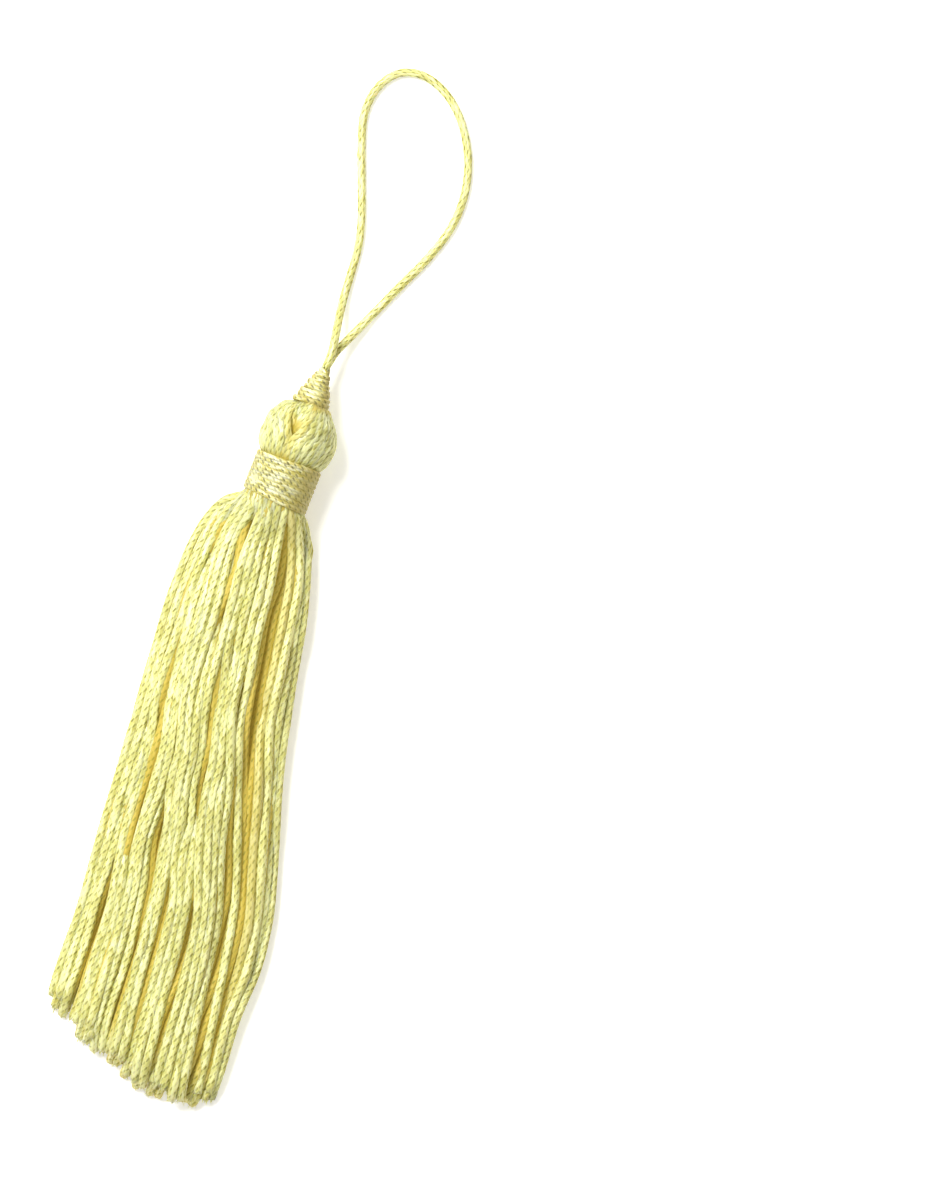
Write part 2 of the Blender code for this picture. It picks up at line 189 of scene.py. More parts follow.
def quads_of(rings, sides):
    """The ring and the side of each quad's four corners, on one tube."""
    ring, side = np.meshgrid(np.arange(rings - 1), np.arange(sides), indexing="ij")
    corner_ring = np.stack([ring, ring, ring + 1, ring + 1], axis=-1)
    corner_side = np.stack([side, side + 1, side + 1, side], axis=-1)
    return corner_ring.reshape(-1, 4), corner_side.reshape(-1, 4)


def gathered(tubes):
    """Points, quads, both texture maps and both marks of all tubes, in one array each."""
    points, quads, lanes, stitches, depth, shade = [], [], [], [], [], []
    start = 0
    for lane, tube in enumerate(tubes):
        rings, sides = tube["points"].shape[:2]
        ring, side = quads_of(rings, sides)
        quads.append(start + ring * sides + side % sides)
        stitches.append(np.stack([side / len(LEG_RISE), tube["number"][ring]], axis=-1))
        across = LANE_MARGIN + (1.0 - 2.0 * LANE_MARGIN) * side / sides
        along = END_MARGIN + (1.0 - 2.0 * END_MARGIN) * ring / (rings - 1)
        lanes.append(np.stack([(lane + across) / len(tubes), along], axis=-1))
        points.append(tube["points"].reshape(-1, 3))
        deep = tube["depth"](tube["reach"]) if callable(tube["depth"]) else tube["depth"]
        depth.append(np.broadcast_to(deep, (rings, sides)).ravel())
        shade.append(np.full(rings * sides, tube["shade"]))
        start += rings * sides
    return [np.concatenate(found) for found in (points, quads, lanes, stitches, depth, shade)]

# %% Turn tubes into one mesh
def tubes_mesh(name, tubes):
    """Join tubes in one mesh, each with a lane of its own in the texture map."""
    points, quads, lanes, stitches, depth, shade = gathered(tubes)
    mesh = bpy.data.meshes.new(name)
    mesh.vertices.add(len(points))
    mesh.vertices.foreach_set("co", (points * MM).astype(np.float32).ravel())
    mesh.loops.add(quads.size)
    mesh.loops.foreach_set("vertex_index", quads.ravel().astype(np.int32))
    mesh.polygons.add(len(quads))
    mesh.polygons.foreach_set("loop_start", np.arange(0, quads.size, 4, dtype=np.int32))
    mesh.update(calc_edges=True)
    for layer, values in (("OFBake", lanes), ("stitches", stitches)):
        uv = mesh.uv_layers.new(name=layer)
        uv.uv.foreach_set("vector", values.astype(np.float32).ravel())
    for layer, values in (("depth", depth), ("shade", shade)):
        attribute = mesh.attributes.new(layer, "FLOAT", "POINT")
        attribute.data.foreach_set("value", values.astype(np.float32))
    mesh.shade_smooth()
    return mesh

# %% [markdown]
# An open tube would show its inside, so each end gets a cap. Then the piece is handed
# to the frame: it rides on the one body, stands for a imported node, and takes the
# material that it is given.

# %% Close the tubes and hand them to the frame
def close_ends(mesh):
    """Cap every open end of a mesh of tubes."""
    bm = bmesh.new()
    bm.from_mesh(mesh)
    rim = [edge for edge in bm.edges if edge.is_boundary]
    bmesh.ops.holes_fill(bm, edges=rim, sides=0)
    bmesh.ops.recalc_face_normals(bm, faces=bm.faces)
    bm.to_mesh(mesh)
    bm.free()


def yarn_piece(name, tubes, material, node):
    """One shown piece made of tubes, standing for a node of the frame."""
    mesh = tubes_mesh(name, tubes)
    close_ends(mesh)
    piece = bpy.data.objects.new(name, mesh)
    bpy.context.scene.collection.objects.link(piece)
    mesh.materials.append(material)
    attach(piece, "root")
    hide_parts(node)
    triangles = sum(len(face.vertices) - 2 for face in mesh.polygons)
    print(f"{name}: {len(tubes)} tubes, {triangles} triangles")
    return piece

# %% [markdown]
# ## The silk
#
# Silk filaments lie along each leg of a stitch. They are glassy, so a leg that faces
# the light flashes almost white, and the gap beside it stays olive. Light that goes
# down between the yarns meets yellow silk again and again and comes back golden. Much
# of this light and shade is painted into the colour: painted highlights on the legs,
# painted shade in the gaps, and a painted golden shade and a faint painted glow on silk
# deep in the pile. One node group holds what every yarn shares: it reads the stitch
# numbers from the mesh and gives back a colour, a faint glow, a roughness and a fine
# relief of filaments. Each material sets its own colours on the group. First come a few
# helpers, since a group is much easier to read when each node takes one line.

# %% Helpers for nodes
def link(tree, source, target):
    tree.links.new(source, target)


def math_node(tree, operation, first, second=None, third=None):
    node = tree.nodes.new("ShaderNodeMath")
    node.operation = operation
    for socket, value in zip(node.inputs, (first, second, third)):
        if value is None:
            continue
        if isinstance(value, (int, float)):
            socket.default_value = value
        else:
            link(tree, value, socket)
    return node.outputs[0]


def blend_colours(tree, factor, first, second):
    node = tree.nodes.new("ShaderNodeMix")
    node.data_type = "RGBA"
    link(tree, factor, node.inputs[0])
    for socket, value in ((node.inputs[6], first), (node.inputs[7], second)):
        if isinstance(value, tuple):
            socket.default_value = value
        else:
            link(tree, value, socket)
    return node.outputs[2]


def smooth_step(tree, value, low, high):
    node = tree.nodes.new("ShaderNodeMapRange")
    node.interpolation_type = "SMOOTHSTEP"
    link(tree, value, node.inputs["Value"])
    node.inputs["From Min"].default_value = low
    node.inputs["From Max"].default_value = high
    return node.outputs["Result"]


def noise(tree, vector, scale, detail):
    node = tree.nodes.new("ShaderNodeTexNoise")
    node.inputs["Scale"].default_value = scale
    node.inputs["Detail"].default_value = detail
    link(tree, vector, node.inputs["Vector"])
    return node.outputs["Fac"]


# %% [markdown]
# The gaps beside the legs of a stitch lie in shade, and that shade is painted as dark
# slanted dashes. A dash is a soft ellipse in stitch numbers: its place repeats with every
# column and every stitch. Beside each slit, on the crest of the leg, a highlight is
# painted the same way. The rings of a tube zigzag, so the level that a dash is set out
# on adds that zigzag again.

# %% Slanted dashes between the stitches
SLIT_HALF_WIDTH = 0.13  # of a column
SLIT_HALF_LENGTH = 0.27  # of a stitch
SLIT_SLANT = 0.50  # columns for each stitch
SLITS = (
    # column, level, strength
    (0.5, 0.5, 1.0),
    (0.0, 0.0, 0.85),
)
SLIT_EDGE = (1.4, 0.4)  # where a dash starts and where it is full, in its half sizes squared
CREST_ASIDE = -0.24  # columns from a slit to the crest of the leg beside it
# how strong the highlight painted on each crest is
CREST_SHINE = 0.40


def off_centre(tree, value, centre):
    """How far a repeating value is from the middle of a slit, from -0.5 to 0.5."""
    turned = math_node(tree, "FRACT", math_node(tree, "ADD", value, 0.5 - centre))
    return math_node(tree, "SUBTRACT", turned, 0.5)


def dash(tree, off_level, off_column):
    """A soft slanted dash, 1 in its middle."""
    slant = math_node(tree, "MULTIPLY_ADD", off_level, SLIT_SLANT, off_column)
    reach = math_node(
        tree, "ADD",
        math_node(tree, "POWER", math_node(tree, "DIVIDE", slant, SLIT_HALF_WIDTH), 2.0),
        math_node(tree, "POWER", math_node(tree, "DIVIDE", off_level, SLIT_HALF_LENGTH), 2.0),
    )
    return smooth_step(tree, reach, *SLIT_EDGE)


def slits_and_crests(tree, across, along):
    """Masks for the slits beside the legs, where shade is painted, and for the crests of the
    legs, where a highlight is painted.
    """
    column = math_node(tree, "FRACT", across)
    aside = math_node(tree, "MULTIPLY_ADD", column, 2.0, -1.0)
    from_middle = math_node(tree, "ABSOLUTE", aside)
    level = math_node(tree, "MULTIPLY_ADD", from_middle, V_SLANT, along)
    slits, crests = [], []
    for column_at, level_at, strength in SLITS:
        off_level = off_centre(tree, level, level_at)
        slit = dash(tree, off_level, off_centre(tree, column, column_at))
        slits.append(math_node(tree, "MULTIPLY", slit, strength))
        beside = off_centre(tree, column, column_at + CREST_ASIDE)
        crests.append(dash(tree, off_level, beside))
    crest = math_node(tree, "MULTIPLY", math_node(tree, "MAXIMUM", *crests), CREST_SHINE)
    return math_node(tree, "MAXIMUM", *slits), crest

# %% [markdown]
# Silk is uneven on two scales. Filaments run along each leg, so a fine noise is drawn
# out that way. And every leg meets the light in its own way, so each has a random value
# of its own, made from its column, its stitch and the shade of its yarn. That value sets
# how much highlight is painted on the leg and how strongly the shade in its slit is painted.

# %% Filaments and single legs
FIBRES_ACROSS, FIBRES_ALONG = 1.3, 13.0  # noise scale per column and per stitch
LEGS_TO_A_COLUMN = 2.0
SHADE_SEED = 91.0  # gives each yarn its own row of random legs


def filaments(tree, stitches):
    """Fine noise drawn out along the legs."""
    stretch = tree.nodes.new("ShaderNodeVectorMath")
    stretch.operation = "MULTIPLY"
    stretch.inputs[1].default_value = (FIBRES_ACROSS, FIBRES_ALONG, 1.0)
    link(tree, stitches, stretch.inputs[0])
    return noise(tree, stretch.outputs[0], 1.0, 3.0)


def random_legs(tree, across, along, shade):
    """A random value for each leg of each stitch of each yarn."""
    cell = tree.nodes.new("ShaderNodeCombineXYZ")
    leg = math_node(tree, "MULTIPLY", across, LEGS_TO_A_COLUMN)
    link(tree, math_node(tree, "FLOOR", leg), cell.inputs["X"])
    link(tree, math_node(tree, "FLOOR", along), cell.inputs["Y"])
    link(tree, math_node(tree, "MULTIPLY", shade, SHADE_SEED), cell.inputs["Z"])
    each_leg = tree.nodes.new("ShaderNodeTexWhiteNoise")
    each_leg.noise_dimensions = "3D"
    link(tree, cell.outputs["Vector"], each_leg.inputs["Vector"])
    return each_leg.outputs["Value"]

# %% [markdown]
# The group puts these masks together. Glints and crests are painted highlights, pale
# and smooth; the slits are painted shade, dark and dull; and silk deep in the pile gets a
# painted golden shade and a little painted glow.

# %% A node group for silk yarn
GROUP_SOCKETS = (
    ("INPUT", "Stitches", "NodeSocketVector"),
    ("INPUT", "Depth", "NodeSocketFloat"),
    ("INPUT", "Shade", "NodeSocketFloat"),
    ("INPUT", "Silk", "NodeSocketColor"),
    ("INPUT", "Glint", "NodeSocketColor"),
    ("INPUT", "Gap", "NodeSocketColor"),
    ("INPUT", "Deep", "NodeSocketColor"),
    ("OUTPUT", "Color", "NodeSocketColor"),
    ("OUTPUT", "Glow", "NodeSocketColor"),
    ("OUTPUT", "Roughness", "NodeSocketFloat"),
    ("OUTPUT", "Height", "NodeSocketFloat"),
)
# how much painted highlight a leg gets from its random value
GLINT_RANGE = (0.30, 0.95)  # of the random value: no glint, full glint
GAP_RANGE = (1.3, 0.15)  # of the random value: no gap, the full gap
PATCH_SCALE = 0.35
UNEVEN_PATCHES, UNEVEN_START, UNEVEN_SHADE = 0.16, -0.05, 0.12
DEEP_RANGE = (0.10, 1.0)
SMOOTHEST, FIBRE_ROUGHNESS = 0.26, 0.25
DEEP_DULLNESS = 0.25  # little light reaches a deep yarn, and none of it is sharp
CREST_POLISH, GAP_DULLNESS = -0.20, 0.45
CREST_HEIGHT, GAP_HEIGHT = 0.8, -1.2
NO_GLOW = (0.0, 0.0, 0.0, 1.0)


def silk_yarn_group():
    group = bpy.data.node_groups.new("Silk yarn", "ShaderNodeTree")
    for in_out, name, kind in GROUP_SOCKETS:
        group.interface.new_socket(name=name, in_out=in_out, socket_type=kind)
    given = group.nodes.new("NodeGroupInput").outputs
    result = group.nodes.new("NodeGroupOutput").inputs
    parts = group.nodes.new("ShaderNodeSeparateXYZ")
    link(group, given["Stitches"], parts.inputs[0])
    across, along = parts.outputs["X"], parts.outputs["Y"]

    slit, crest = slits_and_crests(group, across, along)
    fibre = filaments(group, given["Stitches"])
    chance = random_legs(group, across, along, given["Shade"])
    gap = math_node(group, "MULTIPLY", slit, smooth_step(group, chance, *GAP_RANGE))
    glint = math_node(group, "MAXIMUM", smooth_step(group, chance, *GLINT_RANGE), crest)
    deep = smooth_step(group, given["Depth"], *DEEP_RANGE)

    # painted highlight: glints and crests blend the silk towards the Glint colour
    lit = blend_colours(group, glint, given["Silk"], given["Glint"])
    patch = noise(group, given["Stitches"], PATCH_SCALE, 2.0)
    uneven = math_node(group, "MULTIPLY_ADD", patch, UNEVEN_PATCHES, UNEVEN_START)
    uneven = math_node(group, "MULTIPLY_ADD", given["Shade"], UNEVEN_SHADE, uneven)
    lit = blend_colours(group, math_node(group, "MAXIMUM", uneven, 0.0), lit, given["Gap"])
    # painted shade: deep silk blends towards the golden Deep colour
    lit = blend_colours(group, deep, lit, given["Deep"])
    # painted shade in the slits: they blend towards the Gap colour
    link(group, blend_colours(group, gap, lit, given["Gap"]), result["Color"])
    # painted light: deep silk glows a little in the Deep colour
    link(group, blend_colours(group, deep, NO_GLOW, given["Deep"]), result["Glow"])

    rough = math_node(group, "MULTIPLY_ADD", fibre, FIBRE_ROUGHNESS, SMOOTHEST)
    rough = math_node(group, "MULTIPLY_ADD", deep, DEEP_DULLNESS, rough)
    rough = math_node(group, "MULTIPLY_ADD", crest, CREST_POLISH, rough)
    rough = math_node(group, "MULTIPLY_ADD", gap, GAP_DULLNESS, rough)
    link(group, rough, result["Roughness"])
    height = math_node(group, "MULTIPLY_ADD", crest, CREST_HEIGHT, fibre)
    height = math_node(group, "MULTIPLY_ADD", gap, GAP_HEIGHT, height)
    link(group, height, result["Height"])
    return group


SILK_YARN = silk_yarn_group()
print("silk yarn group:", len(SILK_YARN.nodes), "nodes")

# %% [markdown]
# Each material is a plain glossy shader round that group. Its gloss is stretched across
# the filaments, as on satin. Silk is also a little see-through: some subsurface light
# softens it, and a faint glow of the deep colour stands for light that has come down
# through the yarns above. A colour that is the same all over is set on the shader.

# %% Materials that use it
PASSED_ON = 0.24  # light that a deep yarn gets through the yarns above it
SILK_FINISH = (
    ("Anisotropic", 0.7),
    ("Anisotropic Rotation", 0.25),
    ("IOR", 1.75),
    ("Specular IOR Level", 0.9),
    ("Emission Strength", PASSED_ON),
    ("Subsurface Weight", 0.55),
    ("Subsurface Radius", (1.0, 0.8, 0.3)),
    ("Subsurface Scale", 0.0010),
    ("Sheen Weight", 0.05),
    ("Sheen Roughness", 0.4),
    ("Sheen Tint", (1.0, 0.97, 0.75, 1.0)),
)
RELIEF_STRENGTH, RELIEF_HEIGHT = 0.6, 0.00006  # the height in metres


def silk_material(name, flash, colours):
    """Silk with its own colours on the group, and its own colour of gloss."""
    material = bpy.data.materials.new(name)
    material.use_nodes = True
    tree = material.node_tree
    shader = tree.nodes["Principled BSDF"]
    yarn = tree.nodes.new("ShaderNodeGroup")
    yarn.node_tree = SILK_YARN
    for socket, colour in colours.items():
        yarn.inputs[socket].default_value = colour
    stitches = tree.nodes.new("ShaderNodeUVMap")
    stitches.uv_map = "stitches"
    link(tree, stitches.outputs["UV"], yarn.inputs["Stitches"])
    for socket in ("Depth", "Shade"):
        reading = tree.nodes.new("ShaderNodeAttribute")
        reading.attribute_name = socket.lower()
        link(tree, reading.outputs["Fac"], yarn.inputs[socket])
    bump = tree.nodes.new("ShaderNodeBump")
    bump.inputs["Strength"].default_value = RELIEF_STRENGTH
    bump.inputs["Distance"].default_value = RELIEF_HEIGHT
    link(tree, yarn.outputs["Height"], bump.inputs["Height"])
    link(tree, yarn.outputs["Color"], shader.inputs["Base Color"])
    link(tree, yarn.outputs["Glow"], shader.inputs["Emission Color"])
    link(tree, yarn.outputs["Roughness"], shader.inputs["Roughness"])
    link(tree, bump.outputs["Normal"], shader.inputs["Normal"])
    along_legs = tree.nodes.new("ShaderNodeTangent")
    along_legs.direction_type = "UV_MAP"
    along_legs.uv_map = "stitches"
    link(tree, along_legs.outputs["Tangent"], shader.inputs["Tangent"])
    shader.inputs["Specular Tint"].default_value = flash
    for socket, value in SILK_FINISH:
        shader.inputs[socket].default_value = value
    return material


# Glint is the colour of the painted highlights, Gap that of the painted shade in the slits and
# of the darker tone of uneven patches, and Deep that of the painted golden shade and glow
SILK_COLOURS = {
    "Silk": (0.55, 0.53, 0.145, 1.0),
    "Glint": (0.82, 0.83, 0.42, 1.0),
    "Gap": (0.22, 0.205, 0.025, 1.0),
    "Deep": (0.44, 0.34, 0.05, 1.0),
}
# on the band and the neck, Gap and Deep are darker: stronger painted shade in the slits and on
# the flanks
WOUND_COLOURS = {
    "Silk": (0.50, 0.43, 0.065, 1.0),
    "Glint": (0.84, 0.82, 0.46, 1.0),
    "Gap": (0.11, 0.10, 0.010, 1.0),
    "Deep": (0.28, 0.225, 0.02, 1.0),
}
PALE_SILK = silk_material("pale_silk", (0.98, 1.0, 0.68, 1.0), SILK_COLOURS)
# a shaded copy of pale_silk for yarns deep in the pile: the same colours, with a dimmer, golden
# gloss as painted shade
SHADED_SUNK_SILK = silk_material("shaded_sunk_silk", (0.90, 0.78, 0.36, 1.0), SILK_COLOURS)
WOUND_SILK = silk_material("wound_silk", (1.0, 1.0, 0.85, 1.0), WOUND_COLOURS)
print("materials:", [material.name for material in (PALE_SILK, SHADED_SUNK_SILK, WOUND_SILK)])

# %% [markdown]
# ## The skirt
#
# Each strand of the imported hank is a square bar, drawn from section to section. Their
# corners tell us where every yarn lies, so nothing has to be placed again: the four
# corners of a bar in one section share the same distance along the tassel and are
# joined by edges, and bars are joined lengthways from section to section.

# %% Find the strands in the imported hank
SAME = 0.000004  # metres: corners this near each other lie at one level


def sections(bm):
    """Corners that edges join at the same distance along the tassel, section by section."""
    level = {vert: [] for vert in bm.verts}
    for edge in bm.edges:
        a, b = edge.verts
        if abs(a.co.y - b.co.y) < SAME:
            level[a].append(b)
            level[b].append(a)
    ring_of, rings = {}, []
    for vert in bm.verts:
        if vert in ring_of or not level[vert]:
            continue
        ring, waiting = [], [vert]
        while waiting:
            corner = waiting.pop()
            if corner in ring_of:
                continue
            ring_of[corner] = len(rings)
            ring.append(corner)
            waiting += level[corner]
        rings.append(ring)
    return ring_of, rings


def strand_routes(mesh):
    """The middle of each strand in each of its sections, from waist to cut end."""
    bm = bmesh.new()
    bm.from_mesh(mesh)
    bmesh.ops.remove_doubles(bm, verts=bm.verts, dist=0.5 * SAME)
    ring_of, rings = sections(bm)
    square = [len(ring) == 4 for ring in rings]
    ahead = {}
    for edge in bm.edges:
        a, b = (ring_of.get(vert) for vert in edge.verts)
        if a is None or b is None or a == b or not (square[a] and square[b]):
            continue
        upper, lower = (a, b) if rings[a][0].co.y > rings[b][0].co.y else (b, a)
        ahead[upper] = lower
    middles = [np.mean([vert.co for vert in ring], axis=0) / MM for ring in rings]
    starts = set(ahead) - set(ahead.values())
    routes = []
    for ring in sorted(starts, key=lambda i: tuple(middles[i])):
        roots = [
            edge.other_vert(vert).co
            for vert in rings[ring]
            for edge in vert.link_edges
            if edge.other_vert(vert).co.y > vert.co.y + SAME
        ]
        route = [np.mean(roots, axis=0) / MM, middles[ring]]
        while ring in ahead:
            ring = ahead[ring]
            route.append(middles[ring])
        routes.append(np.array(route))
    bm.free()
    return routes


routes = strand_routes(frame["nodes"]["yarn_hank"].data)
fewest = min(len(route) for route in routes)
routes = [route[-fewest:] for route in routes]
print("strands:", len(routes), "sections in each:", fewest)

# %% [markdown]
# A real skirt is a pile of yarns, and what shows is the topmost yarns lying side by side,
# parted here and there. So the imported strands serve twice: those deep in the pile are
# knitted as they lie, and the whole packed hank is the form on which two layers of
# yarns are draped. The skirt's two edges and its partings are short tables. The main
# parting runs from the waist to the ends, with the broad hank on its left and a narrow
# bunch on its right.

# %% Edges, partings and ends of the skirt
SKIRT_EDGES = np.array([
    # y, left, right
    (33.2, -5.1, 3.6),
    (31.8, -6.8, 3.9),
    (30.2, -8.3, 4.9),
    (27.0, -9.9, 6.3),
    (22.5, -11.0, 7.4),
    (16.0, -11.8, 8.3),
    (8.0, -12.1, 8.8),
    (0.0, -12.2, 9.6),
    (-8.0, -12.4, 11.1),
    (-16.0, -12.9, 12.5),
    (-24.0, -13.1, 14.0),
    (-32.0, -13.1, 14.2),
    (-40.0, -14.0, 13.0),
    (-48.0, -14.6, 12.3),
    (-54.0, -15.2, 11.3),
])
MAIN_PARTING = np.array([
    # y, x, half of its width
    (33.2, 2.0, 0.1),
    (29.0, 2.2, 0.3),
    (22.0, 3.3, 0.7),
    (14.0, 3.5, 0.9),
    (2.0, 4.1, 0.9),
    (-5.0, 5.5, 0.9),
    (-16.0, 7.6, 0.8),
    (-26.0, 9.6, 0.7),
    (-38.0, 10.2, 0.5),
    (-54.0, 10.3, 0.2),
])
PARTINGS = (
    # half width, its line as (y, x)
    (0.60, ((-14.0, 5.2), (-25.5, 7.0), (-40.0, 7.8), (-50.0, 8.8))),  # branch
    (0.60, ((27.0, -2.7), (23.7, -3.9), (16.0, -4.3), (8.0, -4.4))),  # upper left
    (0.55, ((3.0, -8.5), (-5.0, -8.0), (-17.0, -8.1))),  # outer left
    (0.45, ((6.0, -1.4), (-5.0, -0.8), (-12.0, -0.9))),  # upper middle
    (0.75, ((-17.0, -4.6), (-32.0, -4.2), (-44.0, -5.0))),  # lower left
    (0.55, ((-28.0, -9.9), (-37.0, -10.5), (-46.0, -10.0))),  # far left
    (0.45, ((-25.0, -1.3), (-42.0, -1.6))),  # lower middle
    (0.55, ((-29.0, 3.4), (-41.0, 2.3), (-48.0, 1.8))),  # lower right
)
CUT_ENDS = np.array([
    # x, y
    (-14.5, -41.8),
    (-12.0, -44.2),
    (-9.5, -46.6),
    (-4.2, -48.6),
    (-1.0, -50.0),
    (1.0, -51.6),
    (6.0, -52.2),
    (12.5, -51.4),
])


def read_table(table, place, column):
    """A column of a table whose first column falls, read at some places."""
    return np.interp(place, table[::-1, 0], table[::-1, column])


def rounded(values, width):
    """Take the corners off values that lie evenly along a line."""
    kernel = np.hanning(2 * width + 1)
    padded = np.pad(values, width, mode="edge")
    return np.convolve(padded, kernel / kernel.sum(), mode="valid")


# %% [markdown]
# A yarn lies on whatever is below it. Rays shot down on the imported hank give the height
# of the pile, read over a yarn's width, because a yarn is too stiff to sink into every
# groove between the strands.

# %% Read the height of the pile
YARN_RADIUS = 0.62
READ_ASIDE = (-0.9, -0.45, 0.0, 0.45, 0.9)
RAY_START = 0.05  # metres, above everything


def surface_of(node):
    """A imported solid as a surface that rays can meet."""
    state = bpy.context.evaluated_depsgraph_get()
    return BVHTree.FromObject(frame["nodes"][node], state)


hank = surface_of("yarn_hank")


def pile_height(x, y):
    """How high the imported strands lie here: between their mean and their highest."""
    found = []
    for aside in READ_ASIDE:
        start = Vector(((x + aside) * MM, y * MM, RAY_START))
        hit = hank.ray_cast(start, Vector((0.0, 0.0, -1.0)))[0]
        found.append(hit.z / MM if hit else 0.0)
    return 0.5 * (max(found) + float(np.mean(found)))

# %% [markdown]
# The head leans a little to the right. Places on the head, the band and the neck are
# given in the head's own frame: across it, along it from the band's lower rim, and up
# from its axis.

# %% Places round the leaning head and waist
WAIST = np.array([-0.5, 32.1, 5.1])  # the middle of the band's lower rim
WAIST_RADIUS = 3.9
HEAD_LEAN = math.radians(7.0)  # from +Y towards +X


def in_head_frame(across, along, up):
    """From the head's own frame to the table's."""
    lean = np.array([math.cos(HEAD_LEAN), -math.sin(HEAD_LEAN)])
    tilt = np.array([math.sin(HEAD_LEAN), math.cos(HEAD_LEAN)])
    flat = WAIST[:2] + across * lean + along * tilt
    return np.array([flat[0], flat[1], WAIST[2] + up])


# %% [markdown]
# No yarn runs quite straight, and each keeps to one side of every parting that it meets.
# A yarn is thinner where the band grips it and opens within a centimetre.

# %% How one yarn runs
WAIST_SHARE = 0.85  # of its radius, where the band grips
OPENED_AFTER = 9.0  # along the yarn
OPENING_POWER = 0.6  # below 1, as it opens fastest at the band
WAVES = 3
WAVE_LENGTHS = (12.0, 40.0)
PARTING_FADE = 6.0  # beyond the ends of a parting
PARTING_REACH = 1.6  # how far from a parting a yarn still feels it
BESIDE = 0.2  # nearer than this, a yarn crosses the line of a parting


def opened(share, length):
    """The radius of a skirt yarn at a share of its length."""
    t = np.clip(share * length / OPENED_AFTER, 0.0, 1.0)
    return YARN_RADIUS * (WAIST_SHARE + (1.0 - WAIST_SHARE) * t ** OPENING_POWER)


def wander(y, size):
    """A yarn's own slow drift from side to side."""
    lengths = dice.uniform(*WAVE_LENGTHS, WAVES)
    starts = dice.uniform(0.0, 2.0 * np.pi, WAVES)
    waves = [np.sin(2 * np.pi * y / length + start) for length, start in zip(lengths, starts)]
    return size * sum(waves) / WAVES


def parted(x, y, push):
    """Move a yarn out of the partings beside it."""
    for half_width, line in PARTINGS:
        table = np.array(line)
        middle = read_table(table, y, 1)
        beyond = np.maximum(y - table[0, 0], table[-1, 0] - y)
        fade = np.clip(1.0 - beyond / PARTING_FADE, 0.0, 1.0)
        off = x - middle
        crosses = abs(off).min() <= BESIDE
        side = np.sign(off[np.argmax(fade)] if crosses else off[len(off) // 2])
        x = x + push * fade * side * half_width * np.exp(-(off / PARTING_REACH) ** 2)
    return x

# %% [markdown]
# A bunch of yarns widens downwards. If all of them lay side by side at the waist, they
# would be far too thin, so more and more of them come up from below as there is room.
# The golden ratio scatters the order in which they do, so no pattern shows.

# %% How many yarns lie side by side
YARN_PITCH = 1.20  # between yarns that lie side by side
GOLDEN_SHARE = 0.618034
CROWN_ROOM = 0.45  # more yarns lie on the round waist than across its width
CROWN_FROM, CROWN_LENGTH = 24.0, 9.0
STEP = 0.5  # between the points of a line
SKIRT_Y = np.arange(SKIRT_EDGES[0, 0], SKIRT_EDGES[-1, 0], -STEP)


def eased(t):
    """From 0 to 1, slow at both ends."""
    return t * t * (3.0 - 2.0 * t)


def side_by_side(count, left, right):
    """Each yarn's share of the way across and how far it has come up, at each y."""
    crown = 1.0 + CROWN_ROOM * np.clip((SKIRT_Y - CROWN_FROM) / CROWN_LENGTH, 0.0, 1.0)
    room = np.maximum(crown * (right(SKIRT_Y) - left(SKIRT_Y)) / YARN_PITCH, 1.0)
    turn_to_rise = np.argsort(np.argsort((0.5 + GOLDEN_SHARE * np.arange(count)) % 1.0))
    up = eased(np.clip(room - turn_to_rise[:, None], 0.0, 1.0))
    return (np.cumsum(up, axis=0) - 0.5 * up) / up.sum(axis=0), up

# %% [markdown]
# Each yarn starts inside the band, passes over its rim and comes down on the pile. Its
# corners are taken off, since a yarn makes no sharp bends, and it stops at an uneven cut.

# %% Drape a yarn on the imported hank
HIDDEN_DEPTH = 0.85  # how far a yarn lies below the others before it comes up
BEDDED = 0.55  # of its radius, by which a yarn beds into the pile
BAND_REACH = 6.5  # below the band, where a yarn has come down on the pile
INSIDE_BAND = (0.92, 2.0)  # where a yarn starts: share of the waist's radius, and along
UNEVEN_CUT = (-1.5, 1.2)
EVERY = 3  # the pile is read at every third point
ROUND_ASIDE, ROUND_HEIGHT = 8, 7  # points each way over which a line's corners are rounded
BELOW_RIM = 1.6  # where the line given to the smooth curve leaves the waist


def draped_line(left, right, share, up, turn, sunk, drift, push):
    """A yarn from inside the band to its cut end, on the pile between two edges."""
    y = SKIRT_Y
    x = left(y) + share * (right(y) - left(y)) + wander(y, drift)
    x = rounded(parted(x, y, push), ROUND_ASIDE)
    z = np.array([pile_height(a, b) for a, b in zip(x[::EVERY], y[::EVERY])])
    z = np.interp(y, y[::EVERY][::-1], z[::-1])
    z = rounded(z, ROUND_HEIGHT) - BEDDED * YARN_RADIUS - sunk
    z -= HIDDEN_DEPTH * (1.0 - rounded(up, ROUND_ASIDE))
    across, high = WAIST_RADIUS * math.cos(turn), WAIST_RADIUS * math.sin(turn)
    rim = in_head_frame(across, 0.0, high)
    z = rim[2] + (z - rim[2]) * eased(np.clip((y[0] - y) / BAND_REACH, 0.0, 1.0))
    z = np.maximum(z, YARN_RADIUS)
    end = np.interp(x[-1], CUT_ENDS[:, 0], CUT_ENDS[:, 1]) + dice.uniform(*UNEVEN_CUT)
    line = np.stack([x, y, z], axis=1)[y > end]
    inner, along = INSIDE_BAND
    start = np.array([in_head_frame(inner * across, along, inner * high), rim])
    below = line[line[:, 1] < rim[1] - BELOW_RIM]
    return smooth_line(np.vstack([start, below[::2 * EVERY], below[-1:]]), STEP)


def edge(column, inset=0.0):
    """One of the skirt's edges, or a line a little inside it."""
    inward = inset if column == 1 else -inset
    return lambda y: read_table(SKIRT_EDGES, y, column) + inward


def parting_side(side):
    """The left or the right bank of the main parting."""
    return lambda y: read_table(MAIN_PARTING, y, 1) + side * read_table(MAIN_PARTING, y, 2)
